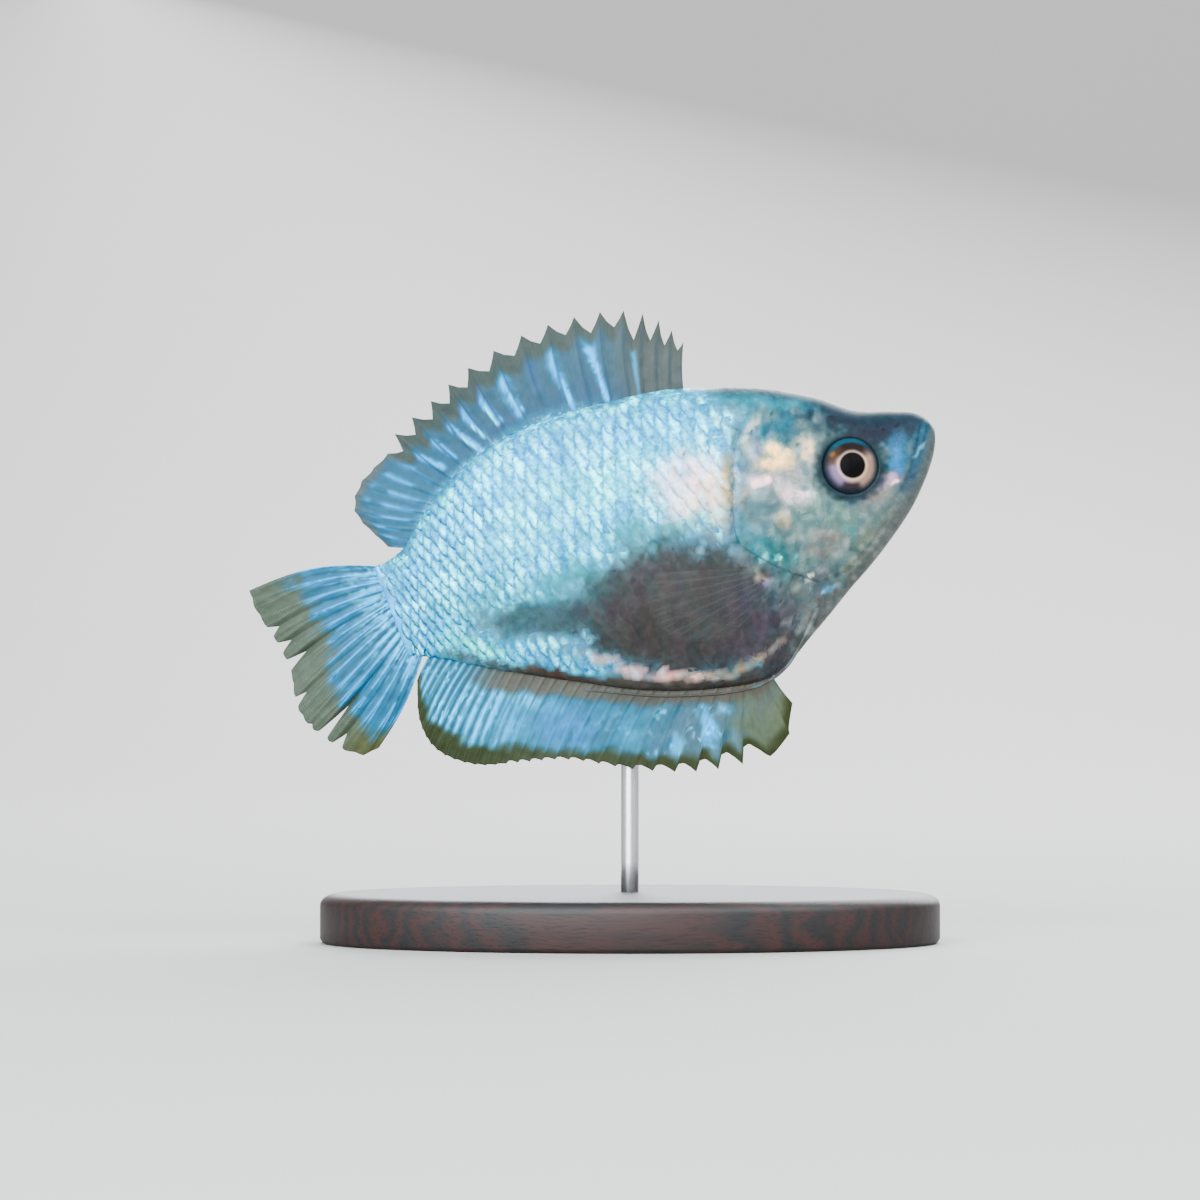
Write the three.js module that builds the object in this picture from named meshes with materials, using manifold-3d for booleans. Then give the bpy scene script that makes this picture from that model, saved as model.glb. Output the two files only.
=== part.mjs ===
// Dwarf gourami, pale blue form: a life-size museum model held over a plain stand by one rod.
// Millimetres, +Z up. The fish heads towards +X with its snout raised, and -Y is its right side.
// The origin is the middle of the stand's underside.
import * as THREE from 'three';
import { mergeGeometries, mergeVertices } from 'three/addons/utils/BufferGeometryUtils.js';
import Module from 'manifold-3d';

const wasm = await Module();
wasm.setup();

// Driving dimensions
const PITCH = THREE.MathUtils.degToRad(19.4); // the body's axis above the level
const TAIL_BASE = new THREE.Vector3(-23.2, 0, 33.1); // where the tail fin grows from the body
const GAP = 0.3; // left between pieces that touch
const AROUND = 28; // facets round the body
const ALONG = 40; // facets along the body

// The body is lofted through these sections. In the fish's own frame x runs from the tail fin's base
// to the snout and z up its side. Each section spans its bottom and top points, is widest at the
// share `widest` of its height, and its back and belly are rounder below a power of 1, keeled above.
const SECTIONS = [
  { top: [-0.8, 5.2], bottom: [-0.5, -4.5], half: 0.5, widest: 0.5, back: 1.0, belly: 1.0 },
  { top: [0.8, 5.25], bottom: [0.9, -5.1], half: 0.95, widest: 0.5, back: 1.0, belly: 1.0 },
  { top: [2.9, 6.1], bottom: [3.2, -6.3], half: 1.6, widest: 0.5, back: 1.0, belly: 1.05 },
  { top: [5.6, 8.4], bottom: [6.2, -8.1], half: 2.3, widest: 0.52, back: 1.0, belly: 1.1 },
  { top: [9.4, 10.9], bottom: [9.9, -10.2], half: 3.0, widest: 0.54, back: 0.95, belly: 1.15 },
  { top: [14.0, 12.6], bottom: [14.5, -12.6], half: 3.7, widest: 0.55, back: 0.92, belly: 1.2 },
  { top: [19.8, 13.4], bottom: [20.4, -15.6], half: 4.3, widest: 0.56, back: 0.9, belly: 1.2 },
  { top: [26.0, 13.0], bottom: [27.0, -17.8], half: 4.8, widest: 0.56, back: 0.88, belly: 1.25 },
  { top: [32.0, 12.3], bottom: [33.3, -18.6], half: 5.1, widest: 0.56, back: 0.86, belly: 1.3 },
  { top: [37.8, 10.6], bottom: [38.8, -15.8], half: 5.2, widest: 0.52, back: 0.84, belly: 1.25 },
  { top: [42.4, 8.8], bottom: [44.2, -12.5], half: 5.0, widest: 0.5, back: 0.8, belly: 1.15 },
  { top: [46.4, 6.5], bottom: [48.4, -9.9], half: 4.4, widest: 0.5, back: 0.74, belly: 1.05 },
  { top: [49.8, 3.9], bottom: [51.8, -7.4], half: 3.6, widest: 0.5, back: 0.7, belly: 1.0 },
  { top: [53.0, 2.7], bottom: [54.1, -5.1], half: 2.8, widest: 0.5, back: 0.74, belly: 0.95 },
  { top: [55.2, 1.8], bottom: [55.6, -3.2], half: 2.0, widest: 0.5, back: 0.85, belly: 0.95 },
  { top: [56.3, 0.7], bottom: [56.4, -1.7], half: 1.2, widest: 0.5, back: 1.0, belly: 1.0 },
  { top: [56.7, -0.4], bottom: [56.7, -0.6], half: 0.3, widest: 0.5, back: 1.0, belly: 1.0 },
];

// Head
const EYE = { x: 47.35, z: -1.3, radius: 2.95, inner: 2.3, dome: 0.95, y: 3.6, forward: 0.2, up: 0.03 };
const PUPIL = { radius: 1.35, rise: 0.22 };
const ORBIT = { radius: 3.3, tube: 0.52, y: 3.8 }; // the soft ring of skin round each eye
const MOUTH = { top: [55.9, 1.1], bend: [54.7, -1.3], corner: [52.8, -3.7], lip: 0.42, lipSink: 0.27, groove: 0.22 };
const NOSTRILS = [{ x: 53.1, z: 1.15, radius: 0.3 }, { x: 51.7, z: 1.2, radius: 0.24 }];
const GILL_COVER = { rise: 0.3, thick: 0.85 };
const GILL_REAR = [[39.0, 6.9], [37.3, 4.7], [35.8, 1.4], [34.6, -2.0], [34.2, -4.7], [35.7, -7.0], [38.0, -9.3], [40.6, -11.3]];
const GILL_FRONT = [[42.2, -11.5], [42.7, -8.6], [42.2, -4.6], [42.1, -0.8], [42.3, 3.0], [41.2, 6.2]];
const NAPE = [40.2, 14];
const THROAT = [44.6, -16];
const TAIL_CUT = 6.0; // the tail stalk ends here

// Fins. A guide gives a ray's number, where it leaves the body's outline, and its tip.
const MEMBRANE = 0.5; // thickness
const FIN_EDGE = 0.34; // thickness at the very edge
const ROOT_SUNK = 0.8; // how far a ray starts inside the body before it is cut clear
const DORSAL = {
  spines: 15,
  spineRidge: 0.36,
  rayRidge: 0.2,
  web: [[0.16, 0.5], [0.4, 1], [0.72, 0.6]], // the web's edge: share of the way to the next ray, share of its notch
  notches: [1.2, 1.8, 2.2, 2.7, 1.6, 1.9, 1.5], // between the first spines; the last of them serves the rest
  softNotch: 0.12,
  bow: 0.03,
  guides: [
    { ray: 0, root: 34.4, tip: [35.9, 16.0] },
    { ray: 2, root: 31.7, tip: [34.3, 18.9] },
    { ray: 4, root: 28.9, tip: [31.3, 21.0] },
    { ray: 6, root: 25.2, tip: [26.4, 22.0] },
    { ray: 8, root: 20.8, tip: [20.8, 22.0] },
    { ray: 10, root: 16.6, tip: [14.7, 20.7] },
    { ray: 12, root: 12.8, tip: [10.1, 18.8] },
    { ray: 14, root: 9.6, tip: [5.6, 16.9] },
    { ray: 15, root: 8.6, tip: [4.3, 15.3] },
    { ray: 17, root: 6.9, tip: [0.9, 13.6] },
    { ray: 19, root: 5.3, tip: [-0.8, 11.0] },
    { ray: 22, root: 3.1, tip: [1.2, 6.5] },
  ],
};
const ANAL = {
  spines: 17,
  spineRidge: 0.32,
  rayRidge: 0.18,
  web: [[0.28, 0.5], [0.66, 1], [0.9, 0.9]],
  notches: [0.15, -0.3, 1.7, 1.5, 1.2, 0.9, 0.7, 0.5, 0.3], // a web below nought bulges
  softNotch: 0.1,
  bow: -0.03,
  guides: [
    { ray: 0, root: 33.2, tip: [34.2, -21.7] },
    { ray: 1, root: 32.4, tip: [32.9, -24.5] },
    { ray: 2, root: 31.4, tip: [30.1, -25.8] },
    { ray: 4, root: 29.2, tip: [25.0, -25.5] },
    { ray: 6, root: 26.4, tip: [20.8, -24.3] },
    { ray: 8, root: 23.2, tip: [16.9, -22.6] },
    { ray: 12, root: 17.4, tip: [11.2, -19.6] },
    { ray: 16, root: 12.8, tip: [6.3, -18.2] },
    { ray: 20, root: 9.0, tip: [2.2, -17.0] },
    { ray: 24, root: 6.1, tip: [-0.9, -14.4] },
    { ray: 28, root: 3.6, tip: [-1.6, -10.9] },
    { ray: 31, root: 1.6, tip: [-0.5, -7.1] },
  ],
};
const CAUDAL = {
  rayRidge: 0.3,
  forkAt: 0.5, // share of the length where a ray forks
  web: [[0.22, 0.05], [0.5, 1], [0.78, 0.05]],
  roots: [[-0.1, 4.9], [-0.5, 1.6], [-0.3, -1.8], [1.0, -4.8]],
  tips: [
    [-13.4, 7.0], [-13.5, 5.3], [-13.1, 3.3], [-12.6, 1.5], [-12.3, -0.4], [-12.2, -2.4], [-12.6, -4.3],
    [-12.7, -5.9], [-12.4, -7.3], [-11.9, -8.4], [-10.9, -9.9], [-9.7, -11.3], [-8.1, -12.4], [-6.4, -12.2],
  ],
  notches: [0.1, 0.1, 1.1, 1.4, 2.3, 0.1, 1.4, 0.1, 0.3, 4.1, 1.6, 0.1, 0.1], // how deep each web is torn
  bows: [-0.075, 0.05], // of the first and last ray
  sweep: 1.6, // the fin's tips lie this far to the left
};
const PECTORAL = {
  rays: 9,
  rayRidge: 0.16,
  web: [[0.5, 1]],
  notch: 0.3,
  rootTop: [35.9, -8.0],
  rootBottom: [37.0, -10.1],
  longest: 13.4,
  longestRay: 3,
  angles: [163, 206], // of the first and last ray, from the snout's direction
  outward: 17, // degrees off the flank
};
const PELVIC = {
  radius: [0.42, 0.26], // at the root and over the thread
  reach: [[39.6, -13.6], [37.4, -15.9], [34.9, -18.0], [32.0, -18.9], [28.6, -18.6], [25.2, -17.7], [21.6, -16.5], [18.2, -15.0], [15.0, -13.6]],
  offMidline: 1.15,
};

// Stand
const BASE = { length: 62, width: 38, height: 5, bevel: 1.2 };
const ROD = { radius: 0.9, y: 2.8, bottom: 2.3, top: 34.6 };

const COLOURS = {
  flank: 0x8fc6d8, head: 0x7f9aa6, gill: 0xa9b3b0, tail: 0x9fd3e4, fin: 0x7fb2dd, finEdge: 0x9aa58c,
  iris: 0xd2b7b4, stand: 0x3a2418, steel: 0xb9bcc0,
};

// Finishes
function finish(color, roughness = 0.4, metalness = 0) {
  return new THREE.MeshStandardMaterial({ color, roughness, metalness });
}

// Smooth curves through the sections' values, all sharing one parameter from the tail to the snout
const topLine = new THREE.SplineCurve(SECTIONS.map((s) => new THREE.Vector2(...s.top)));
const bottomLine = new THREE.SplineCurve(SECTIONS.map((s) => new THREE.Vector2(...s.bottom)));
const widths = new THREE.SplineCurve(SECTIONS.map((s) => new THREE.Vector2(s.half, s.widest)));
const powers = new THREE.SplineCurve(SECTIONS.map((s) => new THREE.Vector2(s.back, s.belly)));

// A point of one outline moved out of the body by `grow`; side is 1 for the back and -1 for the belly
function outlinePoint(line, t, side, grow) {
  const point = line.getPoint(t);
  if (grow === 0) return point;
  const ahead = line.getPoint(Math.min(1, t + 0.01));
  const behind = line.getPoint(Math.max(0, t - 0.01));
  const run = ahead.sub(behind).normalize();
  return point.add(new THREE.Vector2(-run.y, run.x).multiplyScalar(side * grow));
}

// The ring of points of the section at t, on the body grown outwards by `grow`
function sectionRing(t, grow) {
  const top = outlinePoint(topLine, t, 1, grow);
  const bottom = outlinePoint(bottomLine, t, -1, grow);
  const { x: half, y: widest } = widths.getPoint(t);
  const { x: back, y: belly } = powers.getPoint(t);
  const middle = bottom.clone().lerp(top, widest);
  const ring = [];
  for (let i = 0; i < AROUND; i += 1) {
    const angle = (i / AROUND) * 2 * Math.PI;
    const rise = Math.sin(angle);
    const across = Math.cos(angle);
    const end = rise >= 0 ? top : bottom;
    const inPlane = middle.clone().lerp(end, Math.abs(rise));
    const reach = Math.max(0.05, half + grow) * Math.abs(across) ** (rise >= 0 ? back : belly);
    ring.push(new THREE.Vector3(inPlane.x, Math.sign(across) * (Math.abs(across) < 1e-9 ? 0 : reach), inPlane.y));
  }
  return ring;
}

// A closed body from rings of equal counts, each end closed by a fan to a pole
function loftGeometry(rings, firstPole, lastPole) {
  const count = rings[0].length;
  const points = [...rings.flat(), firstPole, lastPole];
  const first = rings.length * count;
  const faces = [];
  for (let i = 0; i < count; i += 1) {
    const next = (i + 1) % count;
    for (let k = 0; k + 1 < rings.length; k += 1) {
      const a = k * count + i;
      const b = k * count + next;
      faces.push(a, b, a + count, b, b + count, a + count);
    }
    faces.push(first, next, i);
    const last = (rings.length - 1) * count;
    faces.push(last + i, last + next, first + 1);
  }
  const geometry = new THREE.BufferGeometry().setFromPoints(points);
  geometry.setIndex(faces);
  return geometry;
}

// The whole body in one piece, grown outwards by `grow`
function bodyGeometry(grow = 0) {
  const rings = [];
  for (let k = 0; k <= ALONG; k += 1) rings.push(sectionRing(k / ALONG, grow));
  const centre = (ring) => ring.reduce((sum, p) => sum.add(p), new THREE.Vector3()).divideScalar(ring.length);
  return loftGeometry(rings, centre(rings[0]), centre(rings[ALONG]));
}

// How far the flank stands from the middle plane at (x, z), found on the section through that point
function flankAt(x, z) {
  const aim = new THREE.Vector2(x, z);
  const offset = (t) => {
    const bottom = bottomLine.getPoint(t);
    return topLine.getPoint(t).sub(bottom).cross(aim.clone().sub(bottom));
  };
  let low = 0;
  let high = 1;
  for (let i = 0; i < 40; i += 1) {
    const mid = (low + high) / 2;
    if (offset(mid) < 0) low = mid;
    else high = mid;
  }
  const bottom = bottomLine.getPoint(low);
  const top = topLine.getPoint(low);
  const share = aim.sub(bottom).dot(top.clone().sub(bottom)) / top.distanceToSquared(bottom);
  const { x: half, y: widest } = widths.getPoint(low);
  const { x: back, y: belly } = powers.getPoint(low);
  const rise = share > widest ? (share - widest) / (1 - widest) : (widest - share) / widest;
  if (rise >= 1) return 0;
  return half * Math.sqrt(1 - rise * rise) ** (share > widest ? back : belly);
}

// The point of an outline whose x is given
function outlineAt(line, x) {
  let low = 0;
  let high = 1;
  for (let i = 0; i < 40; i += 1) {
    const mid = (low + high) / 2;
    if (line.getPoint(mid).x < x) low = mid;
    else high = mid;
  }
  return low;
}

// Joining and cutting
function solid(geometry) {
  const plain = geometry.clone();
  for (const name of Object.keys(plain.attributes)) if (name !== 'position') plain.deleteAttribute(name);
  const merged = mergeVertices(plain, 1e-4);
  const index = merged.index.array;
  const kept = [];
  for (let i = 0; i < index.length; i += 3) {
    const [a, b, c] = [index[i], index[i + 1], index[i + 2]];
    if (a !== b && b !== c && c !== a) kept.push(a, b, c);
  }
  return new wasm.Manifold(new wasm.Mesh({
    numProp: 3,
    vertProperties: new Float32Array(merged.attributes.position.array),
    triVerts: new Uint32Array(kept),
  }));
}

// The largest closed body of a solid, with edges shorter than a hundredth of a millimetre taken out
function geometryOf(shape) {
  const largest = shape.simplify(0.01).decompose().sort((a, b) => b.volume() - a.volume())[0];
  const mesh = largest.getMesh();
  const geometry = new THREE.BufferGeometry();
  geometry.setAttribute('position', new THREE.BufferAttribute(mesh.vertProperties, 3));
  geometry.setIndex(new THREE.BufferAttribute(mesh.triVerts, 1));
  geometry.computeVertexNormals();
  return geometry;
}

// Points of a smooth line through (x, z) pairs
function smooth(pairs, count) {
  return new THREE.SplineCurve(pairs.map((p) => new THREE.Vector2(...p))).getPoints(count);
}

// A closed outline moved outwards by a distance; its points run anticlockwise seen from -Y
function grownOutline(points, distance) {
  return points.map((point, i) => {
    const before = points[(i + points.length - 1) % points.length];
    const after = points[(i + 1) % points.length];
    const run = after.clone().sub(before).normalize();
    return point.clone().add(new THREE.Vector2(run.y, -run.x).multiplyScalar(distance));
  });
}

// An outline in the fish's x-z plane, carried across the whole width of the body
function acrossBody(outline) {
  const depth = 24;
  const shape = new THREE.ExtrudeGeometry(new THREE.Shape(outline), { depth, bevelEnabled: false });
  shape.translate(0, 0, -depth / 2);
  shape.rotateX(Math.PI / 2);
  return solid(shape);
}

// A round tube along a smooth path, with its ends closed
function tube(points, radius, steps, sides = 8) {
  const ring = new THREE.Shape().absarc(0, 0, radius, 0, 2 * Math.PI);
  return solid(new THREE.ExtrudeGeometry(ring, {
    steps, curveSegments: sides / 2, extrudePath: new THREE.CatmullRomCurve3(points), bevelEnabled: false,
  }));
}

// A tube whose radius changes along its path, for the pelvic threads
function taperedTube(points, radiusAt, steps, sides = 6) {
  const path = new THREE.CatmullRomCurve3(points);
  const frames = path.computeFrenetFrames(steps, false);
  const rings = [];
  for (let k = 0; k <= steps; k += 1) {
    const centre = path.getPointAt(k / steps);
    const radius = radiusAt(k / steps);
    rings.push(Array.from({ length: sides }, (_, i) => {
      const angle = (i / sides) * 2 * Math.PI;
      return centre.clone()
        .addScaledVector(frames.normals[k], radius * Math.cos(angle))
        .addScaledVector(frames.binormals[k], radius * Math.sin(angle));
    }));
  }
  return solid(loftGeometry(rings, path.getPointAt(0), path.getPointAt(1)));
}

const body = solid(bodyGeometry());
const clearOfBody = solid(bodyGeometry(GAP));

// Eye: a flattened ball with a clear dome and the lens standing in its middle, turned about its own axis
function eyeGeometry(grow = 0) {
  const profile = [];
  const radius = EYE.radius + grow;
  const steps = 6;
  for (let i = 0; i <= steps; i += 1) {
    const angle = -Math.PI / 2 + (i / steps) * (Math.PI / 2);
    profile.push(new THREE.Vector2(radius * Math.cos(angle), (EYE.inner + grow) * Math.sin(angle)));
  }
  for (let i = 1; i <= 3; i += 1) {
    const share = 1 - (i / 3) * (1 - PUPIL.radius / EYE.radius);
    profile.push(new THREE.Vector2(radius * share, (EYE.dome + grow) * Math.sqrt(1 - share * share)));
  }
  const lens = EYE.dome + grow + PUPIL.rise;
  profile.push(new THREE.Vector2(PUPIL.radius * 0.6, lens - 0.08), new THREE.Vector2(0, lens));
  profile[0].x = 0;
  return new THREE.LatheGeometry(profile, 20);
}

// Places a piece made round +Y at an eye; side is 1 for the left and -1 for the right
function atEye(geometry, side, y = EYE.y) {
  const placed = geometry.clone();
  if (side < 0) placed.rotateZ(Math.PI);
  placed.rotateZ(-side * EYE.forward);
  placed.rotateX(side * EYE.up);
  placed.translate(EYE.x, side * y, EYE.z);
  return placed;
}

// The line of the mouth, from one corner over the snout to the other, moved across the gape by `shift`
// and into the head by `sink`
function mouthPath(shift, sink) {
  const gape = new THREE.QuadraticBezierCurve(...[MOUTH.corner, MOUTH.bend, MOUTH.top].map((p) => new THREE.Vector2(...p)));
  const inside = new THREE.Vector2(EYE.x, EYE.z);
  const points = [];
  for (let i = -6; i <= 6; i += 1) {
    const share = Math.cos((i / 6) * (Math.PI / 2));
    const run = gape.getTangent(share);
    const at = gape.getPoint(share).add(new THREE.Vector2(-run.y, run.x).multiplyScalar(shift));
    const inwards = inside.clone().sub(at).normalize();
    at.addScaledVector(inwards, sink * share ** 4);
    const out = Math.max(0, flankAt(at.x, at.y) - sink * (1 - share ** 4));
    points.push(new THREE.Vector3(at.x, Math.sign(i) * out, at.y));
  }
  return points;
}

const gillOutline = [...smooth(GILL_REAR, 18), ...smooth([GILL_REAR.at(-1), ...GILL_FRONT, GILL_REAR[0]], 18).slice(1, -1)];
const headRear = smooth([NAPE, ...GILL_REAR, THROAT], 24);
const headOutline = [...headRear, new THREE.Vector2(62, -16), new THREE.Vector2(62, 14)];
const tailBox = new THREE.BoxGeometry(20, 24, 60).translate(TAIL_CUT - 10, 0, 0);

function headShape() {
  const orbit = new THREE.TorusGeometry(ORBIT.radius, ORBIT.tube, 6, 24).rotateX(Math.PI / 2);
  const sockets = [1, -1].map((side) => solid(atEye(eyeGeometry(GAP), side)));
  const rims = [1, -1].map((side) => solid(atEye(orbit, side, ORBIT.y)));
  let head = body.intersect(acrossBody(headOutline));
  for (const rim of rims) head = head.add(rim);
  for (const lipSide of [1, -1]) {
    head = head.add(tube(mouthPath(lipSide * MOUTH.lip, MOUTH.lipSink), MOUTH.lip, 12));
  }
  head = head.subtract(tube(mouthPath(0, -0.04), MOUTH.groove, 16, 6));
  for (const nostril of NOSTRILS) {
    for (const side of [1, -1]) {
      const pit = new THREE.SphereGeometry(nostril.radius, 8, 6);
      pit.translate(nostril.x, side * (flankAt(nostril.x, nostril.z) + 0.05), nostril.z);
      head = head.subtract(solid(pit));
    }
  }
  const pocket = acrossBody(grownOutline(gillOutline, GAP)).subtract(solid(bodyGeometry(GILL_COVER.rise - GILL_COVER.thick - GAP)));
  head = head.subtract(pocket);
  for (const socket of sockets) head = head.subtract(socket);
  return head;
}

function gillCovers() {
  const shell = solid(bodyGeometry(GILL_COVER.rise)).subtract(solid(bodyGeometry(GILL_COVER.rise - GILL_COVER.thick)));
  const plates = shell.intersect(acrossBody(gillOutline));
  return [1, -1].map((side) => plates.trimByPlane([0, side, 0], 1));
}

// Values between the guides of a fin, by the ray's number
function betweenGuides(guides, ray) {
  let k = 0;
  while (k + 2 < guides.length && guides[k + 1].ray <= ray) k += 1;
  const [a, b] = [guides[k], guides[k + 1]];
  const [before, after] = [guides[Math.max(0, k - 1)], guides[Math.min(guides.length - 1, k + 2)]];
  const share = (ray - a.ray) / (b.ray - a.ray);
  const curve = new THREE.CubicBezierCurve(...[
    a.tip,
    a.tip.map((v, i) => v + ((b.tip[i] - before.tip[i]) / (b.ray - before.ray || 1)) * (b.ray - a.ray) / 3),
    b.tip.map((v, i) => v - ((after.tip[i] - a.tip[i]) / (after.ray - a.ray || 1)) * (b.ray - a.ray) / 3),
    b.tip,
  ].map((p) => new THREE.Vector2(...p)));
  return { root: THREE.MathUtils.lerp(a.root, b.root, share), tip: curve.getPoint(share) };
}

// The rays of a fin on the middle plane, from guides along the back (side 1) or the belly (side -1)
function medianRays(fin, line, side) {
  return Array.from({ length: fin.guides.at(-1).ray + 1 }, (_, ray) => {
    const { root, tip } = betweenGuides(fin.guides, ray);
    const start = outlinePoint(line, outlineAt(line, root), side, -ROOT_SUNK);
    const isSpine = ray < fin.spines;
    return {
      root: new THREE.Vector3(start.x, 0, start.y),
      tip: new THREE.Vector3(tip.x, 0, tip.y),
      ridge: isSpine ? fin.spineRidge : fin.rayRidge,
      notch: isSpine ? fin.notches[Math.min(ray, fin.notches.length - 1)] : fin.softNotch,
      bow: fin.bow,
    };
  });
}

// A fin as one closed membrane with its rays raised in its two faces. Each ray is a column of points
// from root to edge, with the columns of `web` between it and the next. A ray that forks carries its
// ridge over to the columns on either side of it. sway(share along the fin, share along the ray)
// bends the fin along `outward`.
function finGeometry({ rays, web, steps, forkAt = 1, outward, sway }) {
  const columns = rays.flatMap((ray, k) => {
    const next = rays[k + 1];
    const own = { from: ray, to: next ?? ray, across: 0, pull: 0, ridge: ray.ridge, forked: 0, share: k / (rays.length - 1) };
    if (!next) return [{ ...own, forked: forkAt < 1 ? 0 : ray.ridge }];
    const between = web.map(([across, part]) => ({
      ...own, across, pull: part * ray.notch, ridge: 0, share: (k + across) / (rays.length - 1),
      forked: forkAt < 1 && across !== 0.5 ? ray.ridge : 0,
    }));
    return [{ ...own, forked: forkAt < 1 ? 0 : ray.ridge }, ...between];
  });
  const onRay = (ray, v) => {
    const run = ray.tip.clone().sub(ray.root);
    const side = new THREE.Vector3(-run.z, 0, run.x);
    return ray.root.clone().addScaledVector(run, v).addScaledVector(side, ray.bow * Math.sin(Math.PI * v));
  };
  const faces = [[], []];
  for (const column of columns) {
    const length = column.from.tip.distanceTo(column.from.root);
    for (let i = 0; i <= steps; i += 1) {
      const v = i / steps;
      const reach = v * (1 - column.pull / length);
      const centre = onRay(column.from, reach).lerp(onRay(column.to, reach), column.across);
      centre.addScaledVector(outward, sway(column.share, v));
      const ridge = (v < forkAt ? column.ridge : column.forked) * (1 - 0.5 * v);
      const thickness = (i === steps ? FIN_EDGE : MEMBRANE) + ridge;
      faces[0].push(centre.clone().addScaledVector(outward, thickness / 2));
      faces[1].push(centre.addScaledVector(outward, -thickness / 2));
    }
  }
  return sheetGeometry(faces, columns.length, steps + 1);
}

// Closes two like grids of points, columns by rows, into one body with alike triangles on both faces
function sheetGeometry(faces, columns, rows) {
  const index = [];
  const offset = faces[0].length;
  const quad = (a, b, c, d) => index.push(a, b, c, a, c, d);
  for (let c = 0; c + 1 < columns; c += 1) {
    for (let r = 0; r + 1 < rows; r += 1) {
      const a = c * rows + r;
      quad(a, a + 1, a + rows + 1, a + rows);
      index.push(offset + a, offset + a + rows + 1, offset + a + 1, offset + a, offset + a + rows, offset + a + rows + 1);
    }
    const root = c * rows;
    const edge = root + rows - 1;
    quad(root, root + rows, offset + root + rows, offset + root);
    quad(edge, offset + edge, offset + edge + rows, edge + rows);
  }
  const last = (columns - 1) * rows;
  for (let r = 0; r + 1 < rows; r += 1) {
    quad(r, offset + r, offset + r + 1, r + 1);
    quad(last + r, last + r + 1, offset + last + r + 1, offset + last + r);
  }
  const geometry = new THREE.BufferGeometry().setFromPoints([...faces[0], ...faces[1]]);
  geometry.setIndex(index);
  return geometry;
}

// A closed sheet as a solid that faces outwards, whichever way its grid ran
function sheetSolid(geometry) {
  const made = solid(geometry);
  if (made.volume() > 0) return made;
  const index = geometry.index.array;
  for (let i = 0; i < index.length; i += 3) [index[i], index[i + 1]] = [index[i + 1], index[i]];
  return solid(geometry);
}

const SIDEWAYS = new THREE.Vector3(0, 1, 0);

function dorsalFin() {
  return sheetSolid(finGeometry({
    rays: medianRays(DORSAL, topLine, 1),
    web: DORSAL.web,
    steps: 5,
    outward: SIDEWAYS,
    sway: (along, v) => 0.55 * Math.sin(along * 9) * v * v + 0.5 * along * along * v,
  })).subtract(clearOfBody);
}

function analFin() {
  return sheetSolid(finGeometry({
    rays: medianRays(ANAL, bottomLine, -1),
    web: ANAL.web,
    steps: 5,
    outward: SIDEWAYS,
    sway: (along, v) => 0.4 * Math.sin(along * 10 + 1) * v * v + 0.6 * along * along * v,
  })).subtract(clearOfBody);
}

function tailFin() {
  const roots = new THREE.SplineCurve(CAUDAL.roots.map((p) => new THREE.Vector2(...p)));
  const last = CAUDAL.tips.length - 1;
  const rays = CAUDAL.tips.map(([x, z], k) => {
    const root = roots.getPointAt(k / last);
    return {
      root: new THREE.Vector3(root.x, 0, root.y),
      tip: new THREE.Vector3(x, 0, z),
      ridge: CAUDAL.rayRidge,
      notch: CAUDAL.notches[k],
      bow: THREE.MathUtils.lerp(...CAUDAL.bows, k / last),
    };
  });
  return sheetSolid(finGeometry({
    rays,
    web: CAUDAL.web,
    steps: 7,
    forkAt: CAUDAL.forkAt,
    outward: SIDEWAYS,
    sway: (along, v) => CAUDAL.sweep * v * v + 0.35 * Math.sin(along * 8) * v * v,
  })).subtract(clearOfBody);
}

function pectoralFin(side) {
  const away = THREE.MathUtils.degToRad(PECTORAL.outward);
  const rays = Array.from({ length: PECTORAL.rays }, (_, k) => {
    const share = k / (PECTORAL.rays - 1);
    const [x, z] = PECTORAL.rootTop.map((v, i) => THREE.MathUtils.lerp(v, PECTORAL.rootBottom[i], share));
    const angle = THREE.MathUtils.degToRad(THREE.MathUtils.lerp(...PECTORAL.angles, share));
    const beyond = (k - PECTORAL.longestRay) / (PECTORAL.rays - 1 - PECTORAL.longestRay);
    const length = PECTORAL.longest * (1 - 0.42 * beyond * beyond);
    const root = new THREE.Vector3(x, side * (flankAt(x, z) - 0.6), z);
    const run = new THREE.Vector3(Math.cos(angle) * Math.cos(away), side * Math.sin(away), Math.sin(angle) * Math.cos(away));
    return { root, tip: root.clone().addScaledVector(run, length), ridge: PECTORAL.rayRidge, notch: PECTORAL.notch, bow: 0 };
  });
  return sheetSolid(finGeometry({
    rays,
    web: PECTORAL.web,
    steps: 5,
    outward: new THREE.Vector3(0, side, 0),
    sway: (along, v) => -0.5 * v * v + 0.15 * Math.sin(along * 7) * v,
  })).subtract(clearOfBody);
}

// A long feeler folded back along the breast and past the anal fin's root
function pelvicThread(side) {
  const line = smooth(PELVIC.reach, 24).map(({ x, y }, i) => {
    const sunk = i === 0 ? -0.5 : PELVIC.radius[1] + GAP + 0.15;
    const out = Math.max(PELVIC.offMidline, flankAt(x, y) + sunk);
    return new THREE.Vector3(x, side * out, y);
  });
  const radiusAt = (v) => {
    const thread = THREE.MathUtils.lerp(PELVIC.radius[0], PELVIC.radius[1], Math.min(1, v / 0.12));
    return v > 0.9 ? THREE.MathUtils.lerp(thread, 0.12, (v - 0.9) / 0.1) : thread;
  };
  return taperedTube(line, radiusAt, 26).subtract(clearOfBody);
}

// A stand of the fish's own frame, so that the rod's socket can be cut where the rod stands
const fish = new THREE.Group();
fish.position.copy(TAIL_BASE);
fish.rotation.y = -PITCH;
fish.updateMatrix();
const intoFish = fish.matrix.clone().invert();

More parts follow.
